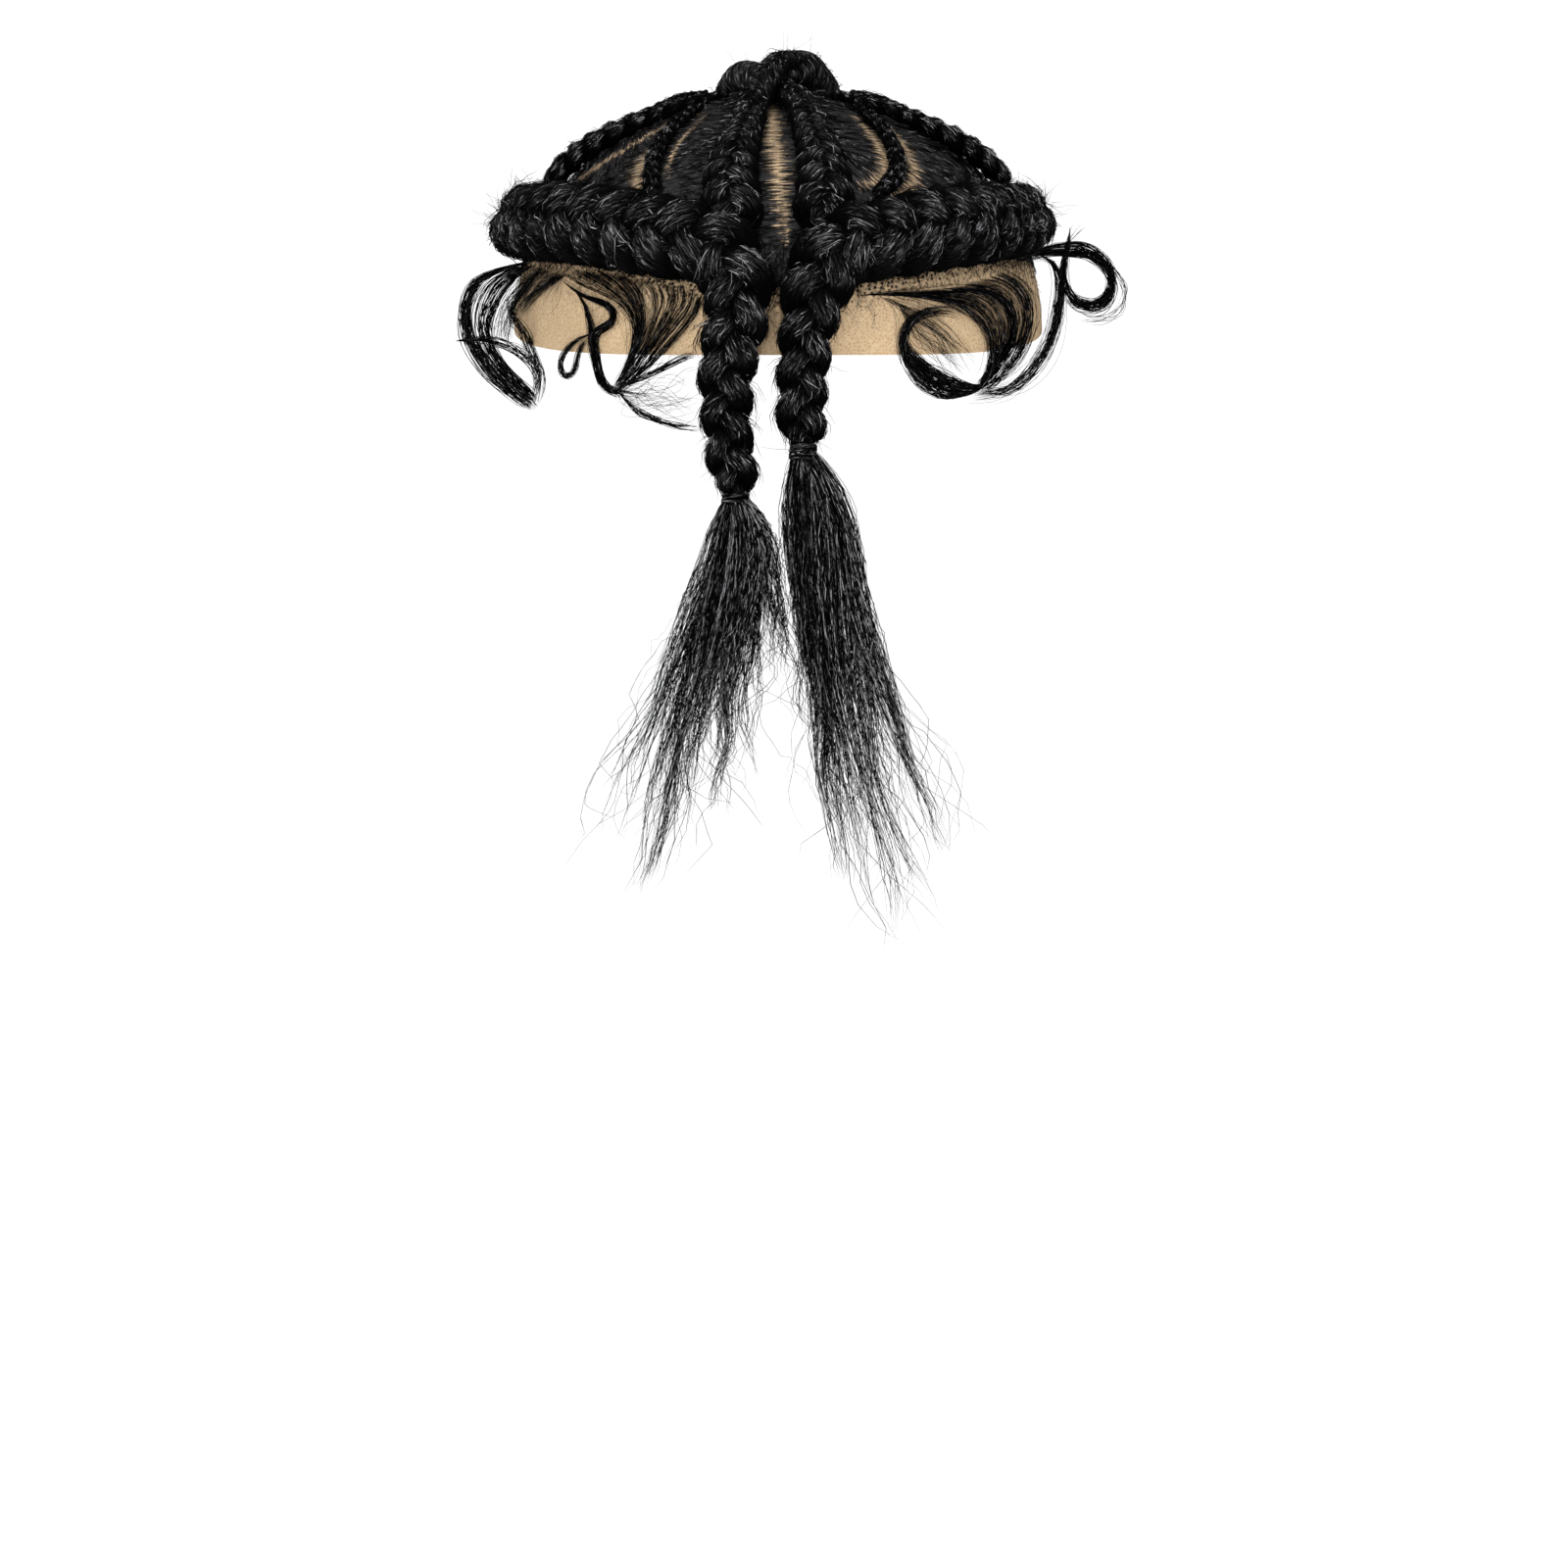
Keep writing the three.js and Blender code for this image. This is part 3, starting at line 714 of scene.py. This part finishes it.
# %% Parts and hairline
PARTS = [  # lines of azimuth, polar and half width in mm, where the lace shows between the plaits
    [(2.8, 29, 3.2), (1.1, 46, 5.2), (-0.3, 57, 5), (-0.9, 66, 4.4), (-1.4, 75.5, 1.8)],
    [(40, 26.5, 3.6), (44, 36.6, 4), (52.5, 45, 4.2), (63, 51, 4.6), (70, 55, 4.4)],
    [(34, 32, 2.6), (38.4, 44, 4.6), (39.5, 52, 6), (37.8, 60, 6.2)],
    [(29, 34, 1.6), (31, 46, 2), (29.5, 56, 2)],
    [(-41, 33, 2.4), (-41.7, 41, 3.4), (-40, 48, 4.4), (-37.5, 55, 5), (-32, 61, 4.6), (-24, 64.5, 3.2)],
    [(-31, 34, 2.4), (-31.5, 44.6, 4.4), (-30.3, 51.5, 5.2), (-27.4, 56, 4.6), (-21, 59.5, 3)],
    [(180, 14, 1.8), (180, 60, 2.8)],
    [(110, 18, 1.6), (132, 34, 2.2), (138, 52, 2)],
    [(-110, 18, 1.6), (-132, 34, 2.2), (-138, 52, 2)],
    [(84, 33, 1.6), (93, 45, 2.2), (96, 54, 2)],
    [(-84, 33, 1.6), (-93, 45, 2.2), (-96, 54, 2)]]
SPOTS = 90  # places worked out along each part
CHUNK = 2000  # points compared at once, to save memory
ROUND = 361  # places round the head, one to a degree


def hair_polar(azimuth):
    """The hairline, where the knotted hair starts."""
    return np.minimum(74.5 + 11 * np.cos(np.radians(azimuth)) ** 4, edge_polar(azimuth) - 5)


spots = np.array([smooth(line, np.linspace(0, len(line) - 1, SPOTS)) for line in PARTS])
part_points = head_point(spots[..., 0], spots[..., 1], np.full(spots.shape[:2], LACE))
part_along = unit(np.gradient(part_points, axis=1)).reshape(-1, 3)
steps = np.linalg.norm(np.diff(part_points, axis=1, prepend=part_points[:, :1]), axis=-1)
part_run = np.cumsum(steps.ravel())
part_points = part_points.reshape(-1, 3)
part_across = np.cross(outward(part_points), part_along)
part_half = spots[..., 2].ravel() * MM
around = np.linspace(-180, 180, ROUND)
hairline = head_point(around, hair_polar(around), np.full(ROUND, LACE))


def nearest(points, lines):
    """For each point, the nearest row of lines and the distance to it."""
    rows, far = np.empty(len(points), int), np.empty(len(points))
    for i in range(0, len(points), CHUNK):
        gaps = np.linalg.norm(points[i:i + CHUNK, None] - lines[None, :, :3], axis=-1)
        rows[i:i + CHUNK] = gaps.argmin(1)
        far[i:i + CHUNK] = gaps.min(1)
    return rows, far


def part_place(points):
    """How far each point lies along the nearest part in metres, and across it in half widths."""
    rows, far = nearest(points, part_points)
    gap = points - part_points[rows]
    side = np.where(np.sum(gap * part_across[rows], 1) < 0, -1, 1)
    return part_run[rows] + np.sum(gap * part_along[rows], 1), side * far / part_half[rows]


print("length of the parts in mm:", round(part_run[-1] / MM))

# %% Lace net
NET_WALL = 0.6 * MM
DEGREE = 1.45 * MM  # length of a degree of polar on the head, near the hairline
bpy.ops.object.select_all(action="DESELECT")
bpy.ops.mesh.primitive_uv_sphere_add(segments=176, ring_count=144, radius=1)
lace = bpy.context.active_object
lace.name = "lace_base_net"
bpy.ops.object.mode_set(mode="EDIT")
bpy.ops.mesh.select_all(action="SELECT")
bpy.ops.mesh.bisect(plane_co=(0, 0, -0.0001), plane_no=(0, 0, 1), clear_inner=True)
bpy.ops.object.mode_set(mode="OBJECT")
ball = np.empty(3 * len(lace.data.vertices))
lace.data.vertices.foreach_get("co", ball)
ball = ball.reshape(-1, 3)
azimuth = np.degrees(np.arctan2(ball[:, 0], ball[:, 1]))
polar = np.degrees(np.arccos(np.clip(ball[:, 2], -1, 1))) / 90 * edge_polar(azimuth)
placed = head_point(azimuth, polar, np.full(len(ball), LACE))
lace.data.vertices.foreach_set("co", placed.ravel())
below = (polar - hair_polar(azimuth)) * DEGREE  # distance under the hairline
run, side = part_place(placed)
ATTRIBUTES = {
    "part_run": run,
    "part_side": side,
    "part_far": np.abs(side),
    "cover": np.clip(0.5 - below / (5 * MM), 0, 1),
    "knots": np.clip(np.minimum(1.5 - below / (7 * MM), 1 + below / (6 * MM)), 0, 1)}
flat_area = sum(p.area for p in lace.data.polygons)
print("lace area in square metres:", round(flat_area, 4))
wall = lace.modifiers.new("wall", "SOLIDIFY")
wall.thickness = NET_WALL
wall.offset = -1
bpy.ops.object.modifier_apply(modifier="wall")
bpy.ops.object.shade_smooth()
for name, values in ATTRIBUTES.items():
    both = np.concatenate([values, 0 * values])  # the inner wall comes second and is plain net
    lace.data.attributes.new(name, "FLOAT", "POINT").data.foreach_set("value", both)
triangles[lace.name] = sum(len(p.vertices) - 2 for p in lace.data.polygons)
print("lace triangles:", triangles[lace.name])

# %% Lace material
TICKS, COMBED = (1500, 0.45, 1), (1000, 0.5, 1)  # noise cells to a metre of a part, and to a half width
net, tree, shader = new_material("tan_lace_net")  # a soft matt net, with dark knots where hair is tied in
place = add_node(tree, "ShaderNodeTexCoord").outputs["Object"]
run, side, far, cover, knots = (
    add_node(tree, "ShaderNodeAttribute", attribute_name=name).outputs["Fac"] for name in ATTRIBUTES)
# Net meshes about 1 mm across, and knots as dark dots of 0.5 mm.
mesh_edge = add_node(
    tree, "ShaderNodeTexVoronoi", {"Vector": place, "Scale": 950.0}, feature="DISTANCE_TO_EDGE")
thread = remap(tree, mesh_edge.outputs["Distance"], 0.03, 0.22, 1.0, 0.0)
dots = add_node(tree, "ShaderNodeTexVoronoi", {"Vector": place, "Scale": 760.0})
knotted = combine(tree, "MULTIPLY", remap(tree, dots.outputs["Distance"], 0.3, 0.48, 1.0, 0.0), knots)
speckle = noise(tree, place, scale=900.0, detail=3.0, roughness=0.7)
above_line = remap(tree, combine(tree, "ADD", speckle, cover), 0.75, 1.05)
# Ticks of hair lie across the part, a tick about every 1.3 mm, and close up away from its middle.
on_part = add_node(tree, "ShaderNodeCombineXYZ", {"X": run, "Y": side}).outputs["Vector"]
tick = noise(tree, stretched(tree, on_part, TICKS), scale=1.0, detail=4.0, roughness=0.8)
hair_share = combine(tree, "MULTIPLY_ADD", far, 0.5, combine(tree, "MULTIPLY_ADD", tick, 2.4, -0.75))
hairy = combine(tree, "MULTIPLY", above_line, remap(tree, hair_share, 0.35, 0.65))
dark = combine(tree, "MAXIMUM", hairy, knotted)
tan = add_node(tree, "ShaderNodeMix", {
    "Factor": thread, "A": linear("#b59876"), "B": linear("#cab290")}, data_type="RGBA")
# The hair is combed across the parts, in streaks about a millimetre wide: black hair with a painted sheen
# on its lighter streaks.
comb = noise(tree, stretched(tree, on_part, COMBED), scale=1.0, detail=5.0, roughness=0.65)
combed_hair_and_sheen = add_node(tree, "ShaderNodeValToRGB", {"Fac": comb})
combed_hair_and_sheen.color_ramp.elements[0].position = 0.42
combed_hair_and_sheen.color_ramp.elements[0].color = linear("#030303")
combed_hair_and_sheen.color_ramp.elements[1].position = 0.72
combed_hair_and_sheen.color_ramp.elements[1].color = linear("#444344")
shown = add_node(tree, "ShaderNodeMix", {
    "Factor": dark, "A": tan.outputs["Result"], "B": combed_hair_and_sheen.outputs["Color"]}, data_type="RGBA")
tree.links.new(shown.outputs["Result"], shader.inputs["Base Color"])
weave = add_node(tree, "ShaderNodeBump", {"Height": thread, "Strength": 0.4, "Distance": 0.15 * MM})
tree.links.new(weave.outputs["Normal"], shader.inputs["Normal"])
shader.inputs["Roughness"].default_value = 0.8
shader.inputs["Specular IOR Level"].default_value = 0.08
lace.data.materials.append(net)
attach(lace, "root")
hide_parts("lace_base")
print("material:", net.name)

# %% [markdown]
# ## Root hair
# Between the parts the hair lies flat, combed from the part or the hairline to the nearest plait.
# Each root is a random place on the lace, and its hair runs straight away from the nearest part.

# %% Root hair
NAP_LOCK = 1.8 * MM
TRIES, NAP, TICK_HAIRS = 24000, 6000, 2600  # random roots, and the hairs made between and beside parts


def combed(roots, sources, length, stray, thick):
    """Hairs that lie on the lace and run away from the nearest source."""
    rows, _ = nearest(roots, sources)
    normal = outward(roots)
    away = square_to(roots - sources[rows], normal)
    across = np.cross(normal, away)
    taper = np.array([0.3, 1, 0.8, 0.2])
    t = np.linspace(0, 1, len(taper))
    size = (len(roots), 1)
    reach = chance.uniform(0.5, 1.4, size) * length
    drift = chance.normal(0, stray, size) * t + chance.normal(0, 0.03, (len(roots), len(taper)))
    course = t[:, None] * away[:, None] + drift[..., None] * across[:, None]
    flat = roots[:, None] + reach[..., None] * course
    lift = LACE + chance.uniform(0.05, 0.5, size) * MM + chance.exponential(0.4 * MM, size) * t ** 2
    radii = thick * chance.uniform(0.6, 1.3, size) * taper
    # Their tones are painted sheen, lit alike in bins NAP_LOCK wide.
    return to_head(flat, lift), radii, HAIR_SIDES, 0.75 * lock_sheen(*(roots / NAP_LOCK).T)


azimuth = chance.uniform(-180, 180, TRIES)
polar = np.degrees(np.arccos(chance.uniform(-0.03, 1, TRIES)))
roots = head_point(azimuth, polar, np.full(TRIES, LACE))
_, side = part_place(roots)
wanted = (polar < hair_polar(azimuth)) & (chance.random(TRIES) < (np.abs(side) - 0.5) / 0.7)
lines = np.concatenate(covered)
rows, far = nearest(roots, lines)
wanted &= far > 0.36 * lines[rows, 3]
sources = np.concatenate([part_points, hairline])
nap = combed(roots[wanted][:NAP], sources, length=9 * MM, stray=0.22, thick=0.13 * MM)
# Roots beside the parts: short hairs straight across, fewer towards the middle.
size = (TICK_HAIRS, 1)
spot = chance.integers(0, len(part_points), TICK_HAIRS)
aside = chance.choice([-1, 1], size) * chance.uniform(0.05, 1.4, size) * part_half[spot, None]
beside = part_points[spot] + aside * part_across[spot]
ticks = combed(beside, part_points, length=3.4 * MM, stray=0.1, thick=0.09 * MM)
print("combed hairs:", len(nap[0]) + len(ticks[0]))

# %% Hairline
# Knots and cut ends crowd under the rim braid and thin out downwards.
count, points = 1500, 4
azimuth = chance.uniform(-105, 105, count)
drop = (chance.exponential(2.6, count) - 2.2) * MM
polar = hair_polar(azimuth) + drop / DEGREE
ends = head_point(azimuth, polar, np.full(count, LACE))[:, None]
ends = ends + np.cumsum(chance.normal(0, 0.42 * MM, (count, points, 3)), axis=1)
ends = to_head(ends, LACE + np.linspace(0.1, 0.6, points) * MM * np.ones((count, 1)))
stubs = ends, np.full((count, points), 0.09 * MM), HAIR_SIDES, chance.uniform(0.05, 0.5, count)
# Fine curly hairs hang over the lace below the hairline.
fine = 320
taper = np.linspace(1, 0.4, 12)
t = np.linspace(0, 1, len(taper))
azimuth = chance.uniform(-80, 80, (fine, 1))
drop = chance.uniform(3, 16, (fine, 1))
curl = chance.uniform(0.5, 2.4, (fine, 1)) * t
twist = chance.uniform(3, 11, (fine, 1)) * t + chance.uniform(0, 6.3, (fine, 1))
sway = chance.normal(0, 7, (fine, 1)) * t + 1.5 * curl * np.sin(twist)
spots = head_point(azimuth + sway, hair_polar(azimuth) - 2 + drop * t + curl * np.cos(twist),
                   LACE + chance.uniform(0.3, 1.6, (fine, 1)) * MM)
baby = spots, 0.075 * MM * taper * np.ones((fine, 1)), HAIR_SIDES, chance.uniform(0.1, 0.6, fine)
root_hair = strands("root_hair", [nap, ticks, stubs, baby])
dress(root_hair, "lace_base")

# %% [markdown]
# ## Edge hair
# Fine hair below the hairline is brushed flat and curled with a fingertip. A few guide strands
# give its shapes. They are drawn on the photograph, in its pixels, and a ray from the
# camera through each point finds its place on the head, or beside it where the curl stands out.
# Each hair is a mix of two neighbouring guides with a wander of its own.

# %% Guide strands
FAN_RIGHT = [  # x and y in pixels of the photograph
    [(873, 302), (915, 298), (953, 296), (987, 293), (1010, 300), (1024, 320), (1027, 343), (1018, 368),
     (998, 396)],
    [(910, 300), (943, 304), (973, 311), (993, 324), (1007, 343), (1010, 363), (1007, 380), (1003, 388),
     (998, 395)],
    [(960, 295), (1002, 296), (1022, 305), (1033, 323), (1032, 347), (1020, 368), (1012, 380), (1005, 389),
     (999, 396)],
    [(1007, 283), (1027, 290), (1042, 307), (1045, 330), (1037, 357), (1027, 373), (1015, 387), (1007, 394),
     (1000, 398)],
    [(1027, 275), (1045, 287), (1055, 303), (1057, 327), (1050, 353), (1037, 375), (1023, 389), (1012, 397),
     (1002, 399)]]
FOOT_RIGHT = [
    [(1012, 389), (990, 402), (962, 406), (940, 395), (927, 378), (920, 360), (922, 339), (933, 324),
     (953, 317), (974, 318), (992, 328)],
    [(1010, 391), (988, 399), (964, 396), (945, 384), (930, 368), (923, 352), (925, 337), (935, 324),
     (948, 318), (966, 317), (984, 323)],
    [(998, 393), (982, 392), (965, 384), (948, 375), (933, 363), (924, 350), (924, 338)]]
INSIDE_RIGHT = [
    [(893, 302), (923, 310), (953, 325), (980, 343), (1003, 362)],
    [(913, 307), (935, 323), (957, 340), (977, 360), (993, 383)],
    [(927, 327), (937, 347), (950, 363), (963, 378), (977, 390)]]
FAN_LEFT = [
    [(563, 276), (587, 290), (612, 298), (632, 308), (644, 324), (648, 341), (645, 359), (637, 379),
     (626, 398)],
    [(609, 275), (629, 288), (644, 305), (652, 324), (651, 342), (645, 362), (637, 381), (626, 398)],
    [(647, 282), (661, 299), (663, 318), (659, 336), (651, 355), (641, 373), (633, 387), (626, 398)],
    [(678, 288), (683, 305), (677, 325), (666, 345), (653, 364), (642, 381), (633, 392), (627, 399)],
    [(707, 293), (703, 312), (690, 330), (675, 348), (660, 367), (646, 382), (635, 393), (627, 400)],
    [(719, 301), (709, 322), (695, 339), (680, 356), (663, 372), (647, 386), (637, 395), (627, 400)]]
BOW_LEFT = [
    (572, 285), (589, 298), (604, 305), (619, 310), (626, 319), (623, 330), (612, 336), (605, 345),
    (607, 361), (610, 378), (616, 392), (628, 401), (641, 399)]
STAY_LEFT = [
    (584, 293), (596, 310), (600, 324), (603, 338), (603, 352), (607, 368), (612, 385), (623, 398),
    (638, 399)]
LOOP_LEFT = [
    (605, 340), (592, 345), (580, 355), (573, 368), (573, 379), (579, 384), (586, 378), (589, 365),
    (594, 352), (603, 342)]
ENDS_LEFT = [
    [(626, 398), (644, 391), (663, 382), (681, 373), (698, 365), (712, 361)],
    [(630, 399), (647, 416), (663, 425), (683, 433), (701, 436), (718, 436)]]
print("guide strands of the fans:", len(FAN_RIGHT), "right and", len(FAN_LEFT), "left")

# %% Hairs along guides
LACE_END, CURL_BEND = -78 * MM, 16 * MM  # where curls leave the head, and over what height
CURL_PLANE = 8 * MM  # y of the upright plane that the left curl hangs in


def seen(pixels, lift, front=None, plane=None, leave=LACE_END, steepest=None):
    """Places on the head behind pixels of the photograph, raised by a lift, or beside the head.

    With front given, no hair lies farther from the camera than that y. With a plane, hair is in that
    upright plane from a little below the height leave. With steepest, it runs between the side of the
    head and its back no steeper than that."""
    eye = np.array(camera.location)
    way = np.stack([(PHOTO_SIDE / 2 - pixels[..., 0]) / FOCAL_PIXELS, -np.ones(pixels.shape[:-1]),
                    (PHOTO_SIDE / 2 - pixels[..., 1]) / FOCAL_PIXELS], -1)
    size = HEAD + np.broadcast_to(lift, pixels.shape[:-1])[..., None]
    start, slope = (eye + [0, 0, HEAD[2]]) / size, way / size
    a, b, c = np.sum(slope ** 2, -1), np.sum(start * slope, -1), np.sum(start ** 2, -1) - 1
    reach = (-b - np.sqrt(np.maximum(0, b * b - a * c))) / a
    if front is not None:
        reach = np.minimum(reach, eye[1] - front)
    if plane is not None:
        free = np.clip((leave - eye[2] - way[..., 2] * reach) / CURL_BEND, 0, 1)
        reach += free * (eye[1] - plane - reach)
    if steepest is not None:
        most = steepest * np.linalg.norm(np.diff(pixels, axis=1), axis=-1) * eye[1] / FOCAL_PIXELS
        for j in range(reach.shape[1] - 2, -1, -1):
            reach[:, j] = np.minimum(reach[:, j], reach[:, j + 1] + most[:, j])
        for j in range(1, reach.shape[1]):
            reach[:, j] = np.minimum(reach[:, j], reach[:, j - 1] + most[:, j - 1])
    return eye + way * reach[..., None]


def mixed_guides(guides, locks, count, points, shortest):
    """Hairs in locks between neighbouring guides, in pixels."""
    last = len(guides) - 1
    centres = chance.uniform(0, last, locks)[chance.integers(0, locks, count)]
    hairs = []
    for place in np.clip(centres + chance.normal(0, 0.02, count), 0, last):
        first = int(place)
        pair = np.array(guides[first], float), np.array(guides[min(first + 1, last)], float)
        rows = min(len(pair[0]), len(pair[1]))
        mix = pair[0][:rows] + (place - first) * (pair[1][:rows] - pair[0][:rows])
        hairs.append(smooth(mix, np.linspace(0, (rows - 1) * chance.uniform(shortest, 1), points)))
    return np.array(hairs)


def edge_hairs(guides, locks, count, points, wander, shortest, thick, depth=0.0, course=None):
    """A strand group of hairs along guides. Wander, thickness and depth, front to back, are in mm."""
    lift = LACE + chance.uniform(0.5, 2.0, (count, 1)) * MM * np.minimum(1, 4 * np.linspace(0, 1, points))
    hairs = seen(mixed_guides(guides, locks, count, points, shortest), lift, **(course or {}))
    t = np.linspace(0, 1, points)
    wave = np.stack([np.sin(chance.uniform(2, 9, (count, 1)) * t + chance.uniform(0, 6.3, (count, 1)))
                     for _ in range(3)], -1)
    hairs += wander * MM * (wave + chance.normal(0, 0.7, (count, 1, 3))) * np.minimum(1, 3 * t)[:, None]
    hairs[..., 1] += chance.normal(0, depth, (count, 1)) * MM * t
    taper = np.concatenate([[0.4], np.ones(points - 4), [0.85, 0.6, 0.2]])
    radii = thick * MM * chance.uniform(0.6, 1.2, (count, 1)) * taper
    return hairs, radii, HAIR_SIDES, 0.5 * hair_sheen_tones(count)


def edge_pieces(table):
    """One piece to each node of a table, from the rows of hairs that it lists."""
    for node, rows in table.items():
        dress(strands(f"{node}_hair", [edge_hairs(*row) for row in rows]), node)


edge_pieces({  # guides, locks, hairs, points to a hair, wander in mm, shortest share, thickness in mm
    "edge_swirl_right": [
        (FAN_RIGHT, 100, 135, 18, 0.5, 0.9, 0.1),
        ([FAN_RIGHT[2]], 1, 60, 18, 0.7, 0.95, 0.1),
        (FOOT_RIGHT, 60, 190, 18, 0.7, 0.62, 0.11),
        (INSIDE_RIGHT, 40, 64, 10, 1.2, 0.6, 0.065),
        (FAN_RIGHT, 60, 60, 12, 1.4, 0.5, 0.055)],
    "edge_swirl_left": [
        (FAN_LEFT, 100, 140, 16, 0.5, 0.9, 0.1),
        ([BOW_LEFT], 1, 80, 20, 0.6, 0.9, 0.1),
        ([STAY_LEFT], 1, 45, 14, 0.5, 0.9, 0.1),
        ([LOOP_LEFT], 1, 40, 18, 0.45, 0.85, 0.1),
        ([ENDS_LEFT[0]], 1, 26, 10, 0.5, 0.9, 0.1),
        ([ENDS_LEFT[1]], 1, 26, 10, 0.6, 0.8, 0.1),
        (ENDS_LEFT, 30, 44, 14, 2.4, 0.4, 0.06),
        (FAN_LEFT, 60, 60, 12, 1.6, 0.5, 0.055)]})

# %% Temple curls
CURL_LEFT = [
    [(535, 267), (506, 275), (484, 285), (474, 302), (470, 324), (473, 344), (483, 364), (497, 384),
     (513, 398), (529, 410), (544, 418)],
    [(538, 268), (512, 276), (491, 288), (480, 307), (478, 327), (484, 348), (497, 368), (512, 385),
     (529, 398), (540, 408), (546, 414)],
    [(547, 270), (529, 281), (517, 295), (507, 312), (501, 330), (501, 345), (507, 361), (517, 376),
     (530, 391), (541, 402), (547, 411)]]
INNER_LEFT = [
    (553, 273), (541, 286), (529, 302), (522, 314), (525, 326), (534, 337), (539, 351), (546, 368),
    (551, 384), (549, 400), (545, 413)]
VEIL_LEFT = [
    [(541, 278), (523, 298), (511, 318), (505, 337), (501, 352)],
    [(547, 286), (531, 307), (522, 327), (520, 343), (523, 357)]]
CROSS_LEFT = [
    (464, 348), (483, 347), (501, 348), (517, 353), (532, 361), (543, 370), (549, 382), (549, 396)]
FEED_LEFT = [
    [(553, 272), (538, 279), (523, 293), (510, 312)],
    [(578, 281), (557, 293), (540, 310), (527, 328)]]
RING_RIGHT = [
    [(1042, 262), (1063, 253), (1083, 248), (1105, 248), (1125, 260), (1135, 278), (1131, 297), (1117, 307),
     (1100, 303), (1090, 290), (1087, 270), (1091, 247), (1105, 232), (1123, 222)],
    [(1043, 260), (1065, 258), (1087, 258), (1107, 259), (1123, 268), (1133, 283), (1131, 302), (1118, 312),
     (1102, 312), (1091, 303), (1085, 287), (1084, 268), (1088, 248), (1094, 230)],
    [(1045, 263), (1068, 262), (1093, 262), (1115, 265), (1132, 277), (1140, 295), (1133, 313), (1117, 321),
     (1098, 317), (1088, 303), (1085, 287), (1084, 270)]]
WISP_RIGHT = [(1127, 263), (1142, 283), (1148, 300), (1142, 318), (1127, 328), (1110, 327), (1100, 322)]
HANG_RIGHT = [
    (1060, 260), (1075, 270), (1082, 292), (1080, 320), (1071, 350), (1054, 378), (1033, 397), (1012, 402),
    (988, 402)]
ROOT_RIGHT = [(1030, 258), (1045, 259), (1060, 260), (1076, 266)]
DROP_RIGHT = [
    (1092, 230), (1090, 250), (1085, 273), (1082, 295), (1081, 313), (1076, 337), (1066, 362), (1052, 382)]
edge_pieces({  # as for the swirls, then depth in mm and the course that seen() takes
    "temple_curl_left": [
        (CURL_LEFT, 70, 130, 20, 0.8, 0.94, 0.13, 2.5, {"plane": CURL_PLANE}),
        ([INNER_LEFT], 1, 34, 18, 0.9, 0.92, 0.1, 2, {"front": 42 * MM, "plane": CURL_PLANE}),
        ([CROSS_LEFT], 1, 26, 16, 0.9, 0.8, 0.12, 2, {"plane": CURL_PLANE, "leave": -60 * MM}),
        (VEIL_LEFT, 30, 54, 10, 0.7, 0.8, 0.065, 5, {"front": 30 * MM}),
        (FEED_LEFT, 50, 90, 8, 0.6, 0.7, 0.07)],
    "temple_curl_right": [
        (RING_RIGHT, 40, 105, 26, 0.6, 0.6, 0.11, 2.5),
        ([WISP_RIGHT], 1, 9, 14, 0.8, 0.8, 0.08, 2),
        ([HANG_RIGHT], 1, 56, 18, 1.15, 0.93, 0.09, 0, {"steepest": 1.6}),
        ([DROP_RIGHT], 1, 44, 16, 0.6, 0.8, 0.1),
        ([ROOT_RIGHT], 1, 44, 8, 1.2, 0.7, 0.1)]})

# %% [markdown]
# ## Triangle count
# The triangles that the script adds are counted.

# %% Size and finish
print("triangles added:", sum(triangles.values()))
